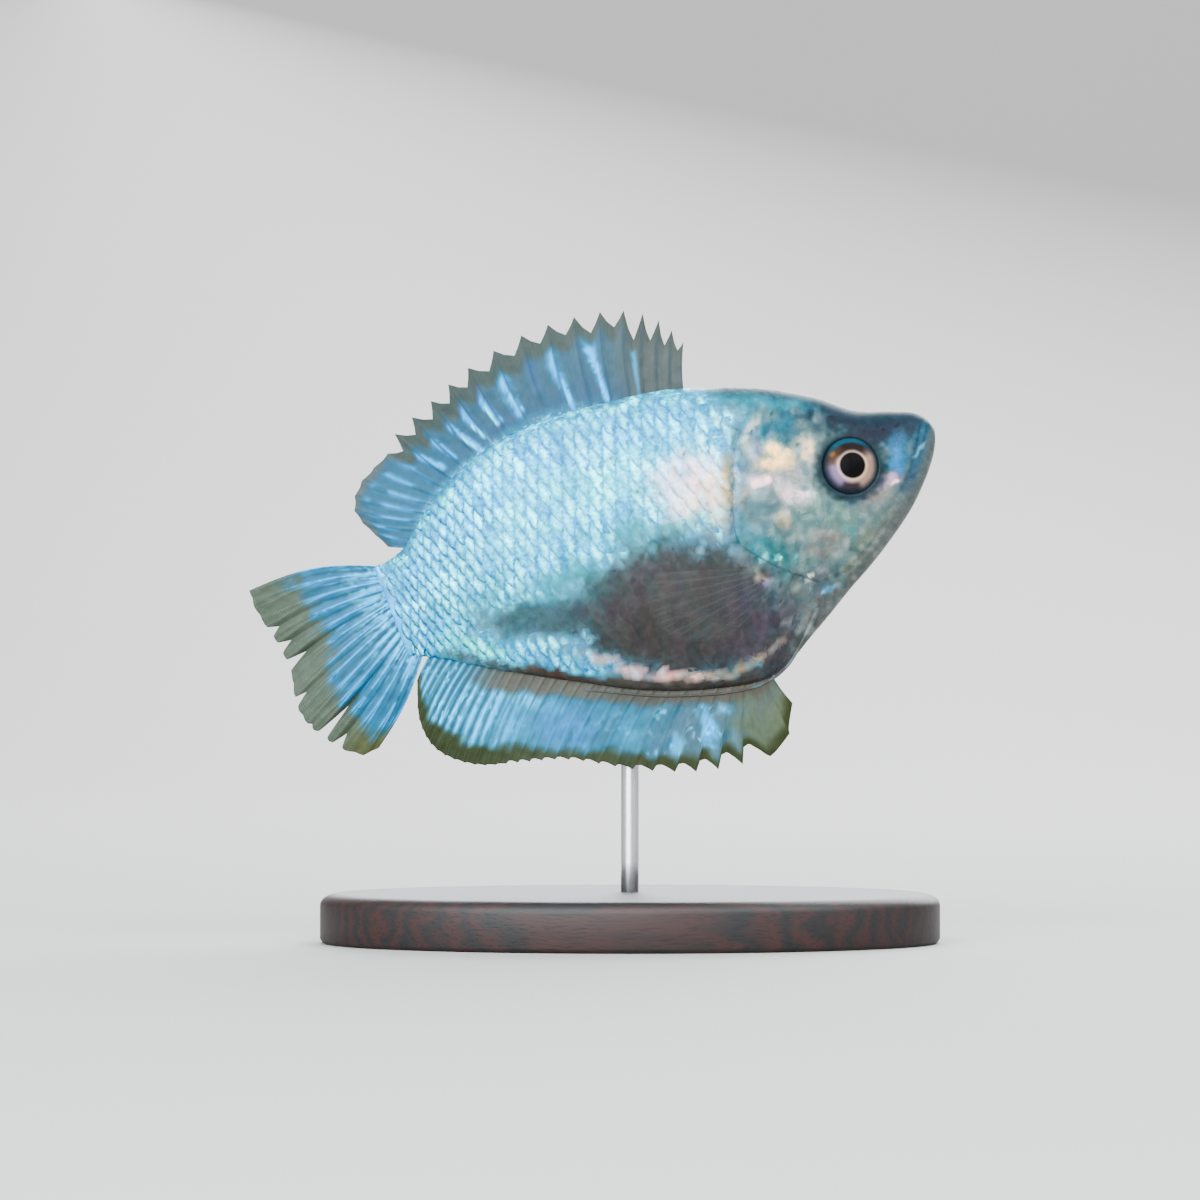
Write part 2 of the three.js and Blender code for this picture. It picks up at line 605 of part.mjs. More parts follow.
function rodGeometry(grow = 0) {
  const length = ROD.top - ROD.bottom + 2 * grow;
  const rod = new THREE.CylinderGeometry(ROD.radius + grow, ROD.radius + grow, length, 20);
  rod.rotateX(Math.PI / 2);
  rod.translate(0, ROD.y, (ROD.top + ROD.bottom) / 2);
  return rod;
}

function baseShape() {
  const half = BASE.width / 2;
  const profile = [[0, 0], [half - 0.5, 0], [half, 0.5], [half, BASE.height - BASE.bevel], [half - BASE.bevel * 0.35, BASE.height - BASE.bevel * 0.35], [half - BASE.bevel, BASE.height], [0, BASE.height]];
  const disc = new THREE.LatheGeometry(profile.map((p) => new THREE.Vector2(...p)), 40);
  disc.rotateX(Math.PI / 2);
  disc.scale(BASE.length / BASE.width, 1, 1);
  return solid(disc).subtract(solid(rodGeometry(GAP)));
}

function add(group, name, shape, material) {
  const geometry = shape instanceof THREE.BufferGeometry ? shape : geometryOf(shape);
  const mesh = new THREE.Mesh(geometry, material);
  mesh.name = name;
  group.add(mesh);
}

const flankFinish = finish(COLOURS.flank, 0.35, 0.2);
const finFinish = finish(COLOURS.fin, 0.4, 0.1);
const socket = solid(rodGeometry(GAP).applyMatrix4(intoFish));
const stalk = solid(tailBox);
const stalkCut = solid(tailBox.clone().translate(GAP, 0, 0));
const behindHead = body.subtract(acrossBody(grownOutline(headOutline, GAP)));
const [leftCover, rightCover] = gillCovers();

add(fish, 'head', headShape(), finish(COLOURS.head, 0.35, 0.1));
add(fish, 'gill_cover_left', leftCover, finish(COLOURS.gill, 0.3, 0.25));
add(fish, 'gill_cover_right', rightCover, finish(COLOURS.gill, 0.3, 0.25));
add(fish, 'trunk', behindHead.subtract(stalkCut).subtract(socket), flankFinish);
add(fish, 'tail_stalk', behindHead.intersect(stalk), finish(COLOURS.tail, 0.35, 0.2));
add(fish, 'eye_left', atEye(eyeGeometry(), 1), finish(COLOURS.iris, 0.12));
add(fish, 'eye_right', atEye(eyeGeometry(), -1), finish(COLOURS.iris, 0.12));
add(fish, 'dorsal_fin', dorsalFin(), finFinish);
add(fish, 'anal_fin', analFin(), finFinish);
add(fish, 'tail_fin', tailFin(), finFinish);
add(fish, 'pectoral_fin_left', pectoralFin(1), finish(COLOURS.finEdge, 0.3));
add(fish, 'pectoral_fin_right', pectoralFin(-1), finish(COLOURS.finEdge, 0.3));
add(fish, 'pelvic_thread_left', pelvicThread(1), finish(COLOURS.finEdge, 0.4));
add(fish, 'pelvic_thread_right', pelvicThread(-1), finish(COLOURS.finEdge, 0.4));

const stand = new THREE.Group();
add(stand, 'stand_base', baseShape(), finish(COLOURS.stand, 0.45));
add(stand, 'stand_rod', rodGeometry(), finish(COLOURS.steel, 0.25, 1));

const model = new THREE.Group();
model.add(fish, stand);

export default model;
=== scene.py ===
"""Dwarf gourami, pale blue form: a life-size museum model on a plain stand.

The fish is worked out in its own frame in millimetres: x runs from the tail fin's base to the snout,
y to its left side and z up its side. to_display() turns it into the display's frame in metres.
Colours are painted as seen sRGB values, and pigment() turns them into what the shaders need.
"""
import logging
import math
from collections.abc import Callable
from dataclasses import dataclass
from enum import Enum
from functools import partial

import bpy
import numpy as np
from bpy.types import Material, NodeSocket, NodeTree, Object
from numpy import arange, array, broadcast_arrays, clip, concatenate, cumsum, diff, full, interp, linspace
from numpy import maximum, minimum, ndarray as Array, stack, where, zeros
from numpy.linalg import norm
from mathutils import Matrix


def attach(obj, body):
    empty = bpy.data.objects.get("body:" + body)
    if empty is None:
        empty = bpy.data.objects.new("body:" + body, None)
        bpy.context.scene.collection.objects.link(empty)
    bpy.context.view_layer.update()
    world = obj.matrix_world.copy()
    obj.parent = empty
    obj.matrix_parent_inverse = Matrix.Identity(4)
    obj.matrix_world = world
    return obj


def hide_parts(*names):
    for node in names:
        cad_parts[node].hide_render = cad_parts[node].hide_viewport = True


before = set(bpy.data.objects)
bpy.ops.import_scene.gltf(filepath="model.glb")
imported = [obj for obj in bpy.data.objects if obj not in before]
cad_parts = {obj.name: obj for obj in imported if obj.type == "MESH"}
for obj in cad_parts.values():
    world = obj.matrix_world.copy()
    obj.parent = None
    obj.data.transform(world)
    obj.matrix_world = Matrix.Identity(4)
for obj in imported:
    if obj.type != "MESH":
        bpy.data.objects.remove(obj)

log = logging.getLogger("gourami")

MM = 0.001  # metres
PITCH = math.radians(19.4)  # the body's axis above the level
TAIL_BASE = array([-23.2, 0.0, 33.1])  # where the tail fin grows from the body
LIGHT = 5.6  # the brightness of matt white under the studio's lights
SHEEN = 0.02  # the grey that a wet surface adds by mirroring the pale room

Pair = tuple[float, float]
Rgba = tuple[float, float, float, float]  # linear red, green, blue and alpha
Sheet = dict[str, Array]  # a fin's arrays by name


class Side(Enum):
    """The two sides of the fish. The value is the sign of y."""

    LEFT = 1
    RIGHT = -1


# Helpers on arrays


def to_display(points: Array) -> Array:
    """Turns points from the fish's frame into the display's.

    It is a turn by PITCH about y, snout up, then a move to TAIL_BASE.

    Args:
        points: places in the fish's frame, mm, shape (..., 3).

    Returns:
        The same places in the display's frame, metres.
    """
    x, y, z = points[..., 0], points[..., 1], points[..., 2]
    cos, sin = math.cos(PITCH), math.sin(PITCH)
    turned = stack([x * cos - z * sin, y, x * sin + z * cos], -1)
    return (turned + TAIL_BASE) * MM


def smooth(low: float, high: float, value: Array) -> Array:
    """Returns 0 below low, 1 above high and 3q^2 - 2q^3 of the share q between them."""
    q = clip((value - low) / (high - low), 0.0, 1.0)
    return q * q * (3.0 - 2.0 * q)


def drop(low: float, high: float, value: Array) -> Array:
    """Returns 1 below low, 0 above high and 1 - smooth between them."""
    return 1.0 - smooth(low, high, value)


def bell(value: Array, width: float) -> Array:
    """Returns exp(-(value / width)^2), a soft bump that is 1 at nought."""
    return np.exp(-((value / width) ** 2))


def blend(a: Array, b: Array, share: Array) -> Array:
    """Mixes b into colours a by a share for each point."""
    return a + (b - a) * np.asarray(share)[..., None]


def layered(colour: Array, *layers: tuple[str, Array]) -> Array:
    """Lays tones over colours in order, each by its share for each point. All are seen colours."""
    for tone, share in layers:
        colour = blend(colour, srgb(tone), share)
    return colour


def spline(knots: Array, t: Array) -> Array:
    """Follows the uniform Catmull-Rom spline through knots.

    Args:
        knots: rows of values, shape (n, k).
        t: parameters, 0 at the first knot and 1 at the last.

    Returns:
        The values at t, shape t.shape + (k,).
    """
    last = len(knots) - 1
    place = clip(t, 0.0, 1.0) * last
    i = minimum(place.astype(int), last - 1)
    w = (place - i)[..., None]
    p0, p1, p2 = knots[maximum(i - 1, 0)], knots[i], knots[i + 1]
    p3 = knots[minimum(i + 2, last)]
    v0, v1 = (p2 - p0) / 2.0, (p3 - p1) / 2.0
    return (2.0 * (p1 - p2) + v0 + v1) * w**3 + (3.0 * (p2 - p1) - 2.0 * v0 - v1) * w**2 + v0 * w + p1


def line_through(pairs: tuple, count: int = 60) -> Array:
    """Returns count points of the spline through (x, z) pairs."""
    return spline(array(pairs, float), linspace(0.0, 1.0, count))


def distance_to(x: Array, z: Array, line: Array) -> tuple[Array, Array]:
    """Finds how far points lie from a line in the x-z plane, segment by segment.

    Args:
        x: the points' x, mm.
        z: the points' z, mm.
        line: the line's own points, shape (n, 2).

    Returns:
        The least distance, and the share of the line, 0 to 1, where it is met.
    """
    best = full(x.shape, np.inf)
    share = zeros(x.shape)
    for k in range(len(line) - 1):
        start, run = line[k], line[k + 1] - line[k]
        q = ((x - start[0]) * run[0] + (z - start[1]) * run[1]) / (run @ run)
        q = clip(q, 0.0, 1.0)
        gap = np.hypot(x - start[0] - q * run[0], z - start[1] - q * run[1])
        nearer = gap < best
        best = where(nearer, gap, best)
        share = where(nearer, (k + q) / (len(line) - 1), share)
    return best, share


def radii_off(dx: Array, dz: Array, long: float, wide: float, tilt: float) -> Array:
    """Returns how many radii of an ellipse, tilted in degrees, a point lies from its middle."""
    cos, sin = math.cos(math.radians(tilt)), math.sin(math.radians(tilt))
    return np.hypot((dx * cos + dz * sin) / long, (dz * cos - dx * sin) / wide)


def cloud(points: Array, size: float, seed: int) -> Array:
    """Smooth value noise: random heights on a cubic lattice, joined by smooth steps.

    Args:
        points: places in mm, shape (..., 3).
        size: the lattice spacing, mm.
        seed: picks the random heights.

    Returns:
        Values from 0 to 1.
    """
    side = 32
    heights = np.random.default_rng(seed).random((side, side, side))
    place = points / size + 11.3
    cell = np.floor(place).astype(int)
    w = place - cell
    w = w * w * (3.0 - 2.0 * w)
    total = zeros(points.shape[:-1])
    for corner in np.ndindex(2, 2, 2):
        weight = np.prod(where(array(corner) == 1, w, 1.0 - w), axis=-1)
        i, j, k = ((cell[..., axis] + corner[axis]) % side for axis in range(3))
        total += weight * heights[i, j, k]
    return total


def srgb(colour: str) -> Array:
    """Reads an sRGB hex colour as three numbers from 0 to 1."""
    return array([int(colour[i : i + 2], 16) / 255.0 for i in (1, 3, 5)])


def linear(seen: Array) -> Array:
    """Turns sRGB values from 0 to 1 into linear ones."""
    return where(seen <= 0.04045, seen / 12.92, ((seen + 0.055) / 1.055) ** 2.4)


def pigment(seen: Array) -> Array:
    """Returns the pigments that look like these sRGB values once they are lit, wet and rendered.

    The render's tone curve squeezes bright colours and pales strong ones. Its inverse is close to
    g = 0.796 (d / (1 - d))^0.975 for each channel d of the seen colour, and then a mixing of the
    three channels that draws them apart. No pigment is brighter than white, so g stops at 4. Strong
    blues would turn violet, so they get more green and less red. The room's sheen is taken off,
    and the rest is divided by the light.
    """
    shown = clip(linear(seen), 0.002, 0.97)
    apart = array([[1.221, -0.192, -0.029], [-0.052, 1.132, -0.08], [-0.053, -0.119, 1.172]])
    wanted = minimum(0.796 * (shown / (1.0 - shown)) ** 0.975, 4.0) @ apart.T
    strong = smooth(0.8, 1.0, 1.0 - wanted[..., 0] / maximum(wanted[..., 2], 0.01))
    wanted[..., 1] = maximum(wanted[..., 1], wanted[..., 2] / 2.8) * (1.0 + 0.24 * strong)
    wanted[..., 0] *= 1.0 - 0.3 * strong
    return clip((wanted - SHEEN) / LIGHT, 0.004, 0.93)


# Helpers on meshes


def new_piece(name: str, points: Array, faces: list[Array]) -> Object:
    """Makes a smooth-shaded mesh object whose place is in its mesh.

    Args:
        name: the piece's name.
        points: corners in the display's frame, metres.
        faces: arrays of corner numbers, one for each number of corners a face has.

    Returns:
        The object, linked to the scene.
    """
    corners = concatenate([f.ravel() for f in faces]).astype(np.int32)
    sizes = concatenate([full(len(f), f.shape[1]) for f in faces])
    mesh = bpy.data.meshes.new(name)
    mesh.vertices.add(len(points))
    mesh.vertices.foreach_set("co", points.astype(np.float32).ravel())
    mesh.loops.add(len(corners))
    mesh.loops.foreach_set("vertex_index", corners)
    mesh.polygons.add(len(sizes))
    mesh.polygons.foreach_set("loop_start", concatenate([[0], cumsum(sizes)[:-1]]).astype(np.int32))
    mesh.update(calc_edges=True)
    mesh.validate()
    mesh.shade_smooth()
    piece = bpy.data.objects.new(name, mesh)
    bpy.context.scene.collection.objects.link(piece)
    return piece


def set_colours(piece: Object, colours: Array, name: str = "markings") -> None:
    """Stores a pigment, a linear colour, for each corner point of a piece."""
    attribute = piece.data.color_attributes.new(name, "FLOAT_COLOR", "POINT")
    paint = np.ones((len(colours), 4), np.float32)
    paint[:, :3] = clip(colours, 0.0, 1.0)
    attribute.data.foreach_set("color", paint.ravel())


def set_value(piece: Object, values: Array, name: str) -> None:
    """Stores a number for each corner point of a piece."""
    piece.data.attributes.new(name, "FLOAT", "POINT").data.foreach_set("value", values.astype(np.float32))


def set_map(piece: Object, uv: Array, name: str) -> None:
    """Stores a UV map from one place for each corner point of a piece."""
    corners = zeros(len(piece.data.loops), np.int32)
    piece.data.loops.foreach_get("vertex_index", corners)
    layer = piece.data.uv_layers.new(name=name)
    layer.data.foreach_set("uv", uv[corners].astype(np.float32).ravel())


def grid_faces(columns: int, rows: int, closed: bool = False) -> Array:
    """Returns the quads of a grid of points, column by column.

    Args:
        columns: how many columns.
        rows: how many points in each.
        closed: True joins the last column to the first.

    Returns:
        Corner numbers, shape (n, 4).
    """
    c, r = np.meshgrid(arange(columns if closed else columns - 1), arange(rows - 1), indexing="ij")
    a = (c * rows + r).ravel()
    b = (((c + 1) % columns) * rows + r).ravel()
    return stack([a, b, b + 1, a + 1], -1)


def sheet_faces(columns: int, rows: int) -> list[Array]:
    """Closes two like grids, the second stored after the first, into one thin body.

    The second grid's quads run the other way, and four strips of quads join the rims.
    """
    front = grid_faces(columns, rows)
    offset = columns * rows
    back = front[:, ::-1] + offset
    c = arange(columns - 1) * rows
    low = stack([c, c + offset, c + rows + offset, c + rows], -1)
    top = c + rows - 1
    high = stack([top, top + rows, top + rows + offset, top + offset], -1)
    r = arange(rows - 1)
    first = stack([r, r + 1, r + 1 + offset, r + offset], -1)
    end = r + (columns - 1) * rows
    last = stack([end, end + offset, end + 1 + offset, end + 1], -1)
    return [concatenate([front, back, low, high, first, last])]


def turned_faces(turns: int, rows: int) -> list[Array]:
    """Returns the faces of a closed turned form of `turns` columns of `rows` points.

    The two poles are stored after the columns, and a fan of triangles joins each to its end ring.
    """
    c = arange(turns) * rows
    after = np.roll(c, -1)
    pole = full(turns, turns * rows)
    first = stack([after, c, pole], -1)
    last = stack([c + rows - 1, after + rows - 1, pole + 1], -1)
    return [grid_faces(turns, rows, closed=True), first, last]


def face_out(piece: Object) -> None:
    """Turns every face of a closed piece if its signed volume says that it is inside out."""
    mesh = piece.data
    mesh.calc_loop_triangles()
    index = zeros(len(mesh.loop_triangles) * 3, np.int32)
    mesh.loop_triangles.foreach_get("vertices", index)
    points = zeros(len(mesh.vertices) * 3, np.float32)
    mesh.vertices.foreach_get("co", points)
    corners = points.reshape(-1, 3).astype(float)[index.reshape(-1, 3)]
    volume = np.einsum("ij,ij->i", corners[:, 0], np.cross(corners[:, 1], corners[:, 2])).sum()
    if volume < 0.0:
        mesh.flip_normals()


def tube(name: str, path: Array, radii: Array, sides: int = 12) -> Object:
    """Makes a round tube, closed at its ends: each ring is centre + r (cos a u + sin a w).

    Args:
        name: the piece's name.
        path: the centreline in the fish's frame, mm, to which u and w are square.
        radii: the radius at each of its points, mm.
        sides: how many points round each ring.

    Returns:
        The finished object.
    """
    run = np.gradient(path, axis=0)
    run /= norm(run, axis=1)[:, None]
    u = np.cross(run, [0.0, 1.0, 0.0])
    u /= norm(u, axis=1)[:, None]
    w = np.cross(run, u)
    angle = linspace(0.0, 2.0 * math.pi, sides, endpoint=False)[:, None, None]
    rings = path + radii[:, None] * (np.cos(angle) * u + np.sin(angle) * w)
    points = concatenate([rings.reshape(-1, 3), path[:1], path[-1:]])
    piece = new_piece(name, to_display(points), [f[:, ::-1] for f in turned_faces(sides, len(path))])
    face_out(piece)
    return piece


def settle(piece: Object, material: Material, slot: str, *nodes: str) -> None:
    """Dresses a piece, rides it on the model and says which solids it stands for.

    Args:
        piece: the finished mesh object.
        material: its finish.
        slot: not used.
        nodes: the CAD nodes that it replaces.
    """
    piece.data.materials.append(material)
    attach(piece, "root")
    if nodes:
        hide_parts(*nodes)
    log.info("%s: %d faces, for %s", piece.name, len(piece.data.polygons), ", ".join(nodes) or "itself")


# Materials


def add_node(
    tree: NodeTree, kind: str, inputs: dict | tuple = (), output: int | str = 0, **settings: str,
) -> NodeSocket | None:
    """Adds a shader node, sets its own values and feeds its sockets.

    Args:
        tree: the node tree.
        kind: the node's type without ShaderNode.
        inputs: sockets to link from and plain values, in order or by name or number.
        output: the output that is wanted.
        settings: values of the node itself.

    Returns:
        The output's socket, where the node has any.
    """
    node = tree.nodes.new("ShaderNode" + kind)
    for key, value in settings.items():
        setattr(node, key, value)
    for key, value in inputs.items() if isinstance(inputs, dict) else enumerate(inputs):
        if isinstance(value, NodeSocket):
            tree.links.new(value, node.inputs[key])
        else:
            node.inputs[key].default_value = value
    return node.outputs[output] if node.outputs else None


TIMES = {"data_type": "RGBA", "blend_type": "MULTIPLY"}  # a Mix node's settings, to multiply colours


def new_material(name: str) -> tuple[Material, Callable, NodeSocket]:
    """Makes an empty node material, and returns it with add_node for its tree and the place on the object."""
    material = bpy.data.materials.new(name)
    material.use_nodes = True
    material.node_tree.nodes.clear()
    add = partial(add_node, material.node_tree)
    return material, add, add("TexCoord", output="Object")


def rgba(colour: str) -> Rgba:
    """Returns a hex colour as the linear red, green, blue and alpha of a socket."""
    return (*linear(srgb(colour)), 1.0)


@dataclass(frozen=True)
class SilveredSkin:
    """Living fish skin silvered by guanine crystals, wet: pale and pearly, with small soft glints painted in
    flecks.
    """

    name: str = "guanine_silvered_skin"
    fleck: float = 0.24  # mm, the size of one glinting fleck
    mottle: float = 0.9  # mm, the size of the cloudy patches of pigment
    pore: float = 0.16  # mm, the size of the fine bumps
    roughness: Pair = (0.48, 0.28)
    metallic: float = 0.05
    wet: float = 0.02

    def material(self) -> Material:
        """Builds the material: the stored markings, clouded, flecked with painted glints and finely bumped.
        """
        material, add, place = new_material(self.name)
        markings = add("Attribute", attribute_name="markings")
        cloudy, flecks, pores = (
            add("TexNoise", {"Vector": place, "Scale": 1.0 / (size * MM), "Detail": detail, "Roughness": 0.6})
            for size, detail in ((self.mottle, 4.0), (self.fleck, 3.0), (self.pore, 2.0)))
        shade = add("MapRange", (cloudy, 0.3, 0.7, 0.86, 1.12))
        shaded = add("Mix", {0: 1.0, 6: markings, 7: shade}, 2, **TIMES)
        # Painted glints: the flecks screen the colour lighter
        bright = add("Mix", {0: add("MapRange", (flecks, 0.52, 0.7, 0.0, 0.35)), 6: shaded, 7: markings}, 2,
                     data_type="RGBA", blend_type="SCREEN")
        add("OutputMaterial", (add("BsdfPrincipled", {
            "Base Color": bright, "Roughness": add("MapRange", (flecks, 0.35, 0.65, *self.roughness)),
            "Metallic": self.metallic, "Coat Weight": self.wet, "Coat Roughness": 0.25, "IOR": 1.33,
            "Specular IOR Level": add("MapRange", (markings.node.outputs["Fac"], 0.0, 0.25, 0.06, 0.5)),
            "Normal": add("Bump", {"Height": pores, "Strength": 0.3, "Distance": 0.05 * MM})}),))
        return material


@dataclass(frozen=True)
class PearlScale:
    """Fish scale, clear horn over silvery guanine: each shows a soft upright spindle of pearly light, a
    reflection painted into its colour.
    """

    name: str = "pearly_fish_scale"
    deep: Rgba = (0.06, 0.17, 0.23, 1.0)  # what the painted shadow along a scale's free edge multiplies by
    gap: Rgba = (0.06, 0.37, 0.42, 1.0)  # likewise, the painted shade between the spindles and on scales that show none
    pearl: Rgba = (0.1, 0.92, 0.94, 1.0)  # the cyan reflection that a spindle paints on
    # painted glints, on flecks within the lit spindles
    glint: Rgba = (0.4, 0.93, 0.93, 1.0)
    tint: Rgba = (0.1, 0.8, 1.0, 1.0)  # of the mirroring, on bright scales
    dull_tint: Rgba = (0.5, 0.85, 1.0, 1.0)
    cloud: float = 0.7  # mm, the size of the soft clouds that bend the spindles
    drift: float = 2.2  # mm, the size of the patches of brighter and duller scales
    grain: float = 0.34  # mm, the size of the crystal plates' uneven grains
    fleck: float = 0.17  # mm
    metallic: float = 0.05

    def material(self) -> Material:
        """Builds the material on the scale's own map: u across it, v from its free edge in pitches."""
        material, add, place = new_material(self.name)
        cloudy, drifts, grains, flecks = (
            add("TexNoise", {"Vector": place, "Scale": 1.0 / (size * MM), "Detail": detail, "Roughness": 0.6})
            for size, detail in ((self.cloud, 1.0), (self.drift, 2.0), (self.grain, 2.0), (self.fleck, 3.0)))
        markings = add("Attribute", attribute_name="markings")
        bright, spark, contrast = (
            add("Attribute", output="Fac", attribute_name=name) for name in ("bright", "spark", "contrast"))
        own = add("UVMap", uv_map="scale")
        bent = add("Mix", {0: 0.16, 6: own, 7: cloudy.node.outputs["Color"]}, 2,
                   data_type="RGBA", blend_type="LINEAR_LIGHT")
        across, ahead = add("SeparateXYZ", (bent,), 0), add("SeparateXYZ", (bent,), 1)
        # The part that shows narrows to both sides, as the neighbours lie over it
        off = add("Math", (add("Math", (across, 2.0, -1.0), operation="MULTIPLY_ADD"),), operation="ABSOLUTE")
        open_to = add("Math", (add("Math", (1.0, off), operation="SUBTRACT"), 0.15), operation="MAXIMUM")
        share = add("Math", (ahead, open_to), operation="DIVIDE")
        middle = add("Math", (share, 2.0, -0.96), operation="MULTIPLY_ADD")
        middle = add("Math", (middle,), operation="ABSOLUTE")
        # Painted shadow: each scale is darkened along the lower side of its free edge, where the overlap of
        # the scales is shaded
        edge_shadow, light = contrast, bright
        for value, start, end, low, high in ((ahead, 0.5, 0.06, 0.0, 1.0), (across, 0.62, 0.34, 0.2, 1.0)):
            step = add("MapRange", (value, start, end, low, high), interpolation_type="SMOOTHSTEP")
            edge_shadow = add("Math", (edge_shadow, step), operation="MULTIPLY")
        for value, start, end, low in (
            (middle, 1.1, 0.0, 0.0), (off, 1.05, 0.25, 0.0), (drifts, 0.38, 0.64, 0.35),
        ):
            step = add("MapRange", (value, start, end, low, 1.0), interpolation_type="SMOOTHSTEP")
            light = add("Math", (light, step), operation="MULTIPLY")
        light = add("Math", (light, spark), operation="MULTIPLY")
        dim = add("Math", (add("Math", (1.0, light), operation="SUBTRACT"), bright), operation="MULTIPLY")
        # The base colour carries painted light: the spindles are painted reflections, the gap is painted
        # shade and the flecks are painted glints
        colour = markings
        for weight, tone, way in (
            (1.0, add("MapRange", (cloudy, 0.3, 0.7, 0.84, 1.16)), "MULTIPLY"), (dim, self.gap, "MULTIPLY"),
            (light, self.pearl, "SCREEN"), (edge_shadow, self.deep, "MULTIPLY"),
            (bright, add("MapRange", (grains, 0.36, 0.62, 0.76, 1.38)), "MULTIPLY"),
            (add("Math", (add("MapRange", (flecks, 0.56, 0.74, 0.0, 0.8)), light), operation="MULTIPLY"),
             self.glint, "MIX"),
        ):
            colour = add("Mix", {0: weight, 6: colour, 7: tone}, 2, data_type="RGBA", blend_type=way)
        rings = add("TexWave", {"Vector": own, "Scale": 6.0, "Distortion": 0.6}, "Fac", bands_direction="Y")
        add("OutputMaterial", (add("BsdfPrincipled", {
            "Base Color": colour, "Metallic": self.metallic, "IOR": 1.33,
            "Roughness": add("MapRange", (cloudy, 0.3, 0.7, 0.5, 0.36)),
            "Specular Tint": add("Mix", {0: bright, 6: self.dull_tint, 7: self.tint}, 2, data_type="RGBA"),
            "Specular IOR Level": add("MapRange", (markings.node.outputs["Fac"], 0.0, 0.25, 0.04, 0.4)),
            "Normal": add("Bump", {"Height": rings, "Strength": 0.1, "Distance": 0.02 * MM})}),))
        return material


@dataclass(frozen=True)
class FinMembrane:
    """Fin membrane stretched between bony rays: thin, slightly pleated skin with a low wet sheen."""

    name: str = "fin_membrane"
    clear: float = 1.0  # alpha of the web
    ray_clear: float = 1.0  # alpha on the rays
    segment: float = 46.0  # ray joints in the length of a ray

    def material(self) -> Material:
        """Builds the material on the fin's own map: u counts the rays and v runs from root to edge."""
        material, add, _ = new_material(self.name)
        markings, own = add("Attribute", attribute_name="markings"), add("UVMap", uv_map="rays")
        ray = add("Attribute", output="Fac", attribute_name="ray")
        pleats = add("TexNoise", {
            "Vector": add("Mapping", {"Vector": own, "Scale": (9.0, 2.4, 1.0)}), "Scale": 1.0, "Detail": 4.0,
            "Roughness": 0.6})
        shade = add("MapRange", (pleats, 0.3, 0.7, 0.88, 1.1))
        turns = self.segment * 2.0 * math.pi
        along = add("Math", (add("SeparateXYZ", (own,), 1), turns), operation="MULTIPLY")
        joints = add("Math", (add("Math", (along,), operation="SINE"), ray), operation="MULTIPLY")
        height = add("Math", (pleats, 1.6, joints), operation="MULTIPLY_ADD")
        inputs = {
            "Base Color": add("Mix", {0: 1.0, 6: markings, 7: shade}, 2, **TIMES),
            "Roughness": 0.45, "Metallic": 0.06, "Specular IOR Level": 0.2, "IOR": 1.3,
            "Normal": add("Bump", {"Height": height, "Strength": 0.3, "Distance": 0.04 * MM})}
        if self.clear < 1.0:
            inputs["Alpha"] = add("MapRange", (ray, 0.0, 1.0, self.clear, self.ray_clear))
        add("OutputMaterial", (add("BsdfPrincipled", inputs),))
        return material


@dataclass(frozen=True)
class WetEye:
    """Eye under a clear cornea: the stored iris colours, faintly clouded, under a thin gloss."""

    name: str = "wet_eye"
    cloud: float = 0.3  # mm

    def material(self) -> Material:
        """Builds the material: the iris is clouded a little, and the cornea is a clear coat."""
        material, add, place = new_material(self.name)
        cloudy = add("TexNoise", {
            "Vector": place, "Scale": 1.0 / (self.cloud * MM), "Detail": 3.0, "Roughness": 0.6})
        markings = add("Attribute", attribute_name="markings")
        shade = add("MapRange", (cloudy, 0.3, 0.7, 0.9, 1.08))
        add("OutputMaterial", (add("BsdfPrincipled", {
            "Base Color": add("Mix", {0: 1.0, 6: markings, 7: shade}, 2, **TIMES),
            "Roughness": 0.5, "Specular IOR Level": 0.03, "IOR": 1.33,
            "Coat Weight": 0.04, "Coat Roughness": 0.15, "Coat IOR": 1.2}),))
        return material


@dataclass(frozen=True)
class OiledWalnut:
    """Walnut turned and oiled: dark brown with long wavering grain and a low sheen."""

    name: str = "oiled_walnut"
    dark: str = "#3a2519"
    light: str = "#59402c"
    grain: float = 1.1  # mm between growth lines
    pore: float = 0.25  # mm across an open pore
    drawn: float = 0.12  # how much slower the grain changes along x

    def material(self) -> Material:
        """Builds the material: growth lines along x, wavered by noise, with short open pores."""
        material, add, place = new_material(self.name)
        grain = add("Mapping", {"Vector": place, "Scale": (self.drawn, 1.0, 1.0)})
        lines = add("TexWave", {
            "Vector": grain, "Scale": 1.6 / (self.grain * MM * 2.0 * math.pi),
            "Distortion": 9.0, "Detail": 3.0, "Detail Scale": 1.5}, "Fac", bands_direction="Y")
        pores = add("TexNoise", {
            "Vector": grain, "Scale": 1.0 / (self.pore * MM), "Detail": 2.0, "Roughness": 0.6})
        pores = add("MapRange", (pores, 0.35, 0.5, 0.55, 1.0))
        dark, light = ((*pigment(srgb(tone)), 1.0) for tone in (self.dark, self.light))
        wood = add("Mix", {0: lines, 6: dark, 7: light}, 2, data_type="RGBA")
        add("OutputMaterial", (add("BsdfPrincipled", {
            "Base Color": add("Mix", {0: 1.0, 6: wood, 7: pores}, 2, **TIMES),
            "Roughness": 0.55, "Coat Weight": 0.05, "Coat Roughness": 0.3, "Specular IOR Level": 0.25,
            "Normal": add("Bump", {"Height": pores, "Strength": 0.3, "Distance": 0.05 * MM})}),))
        return material


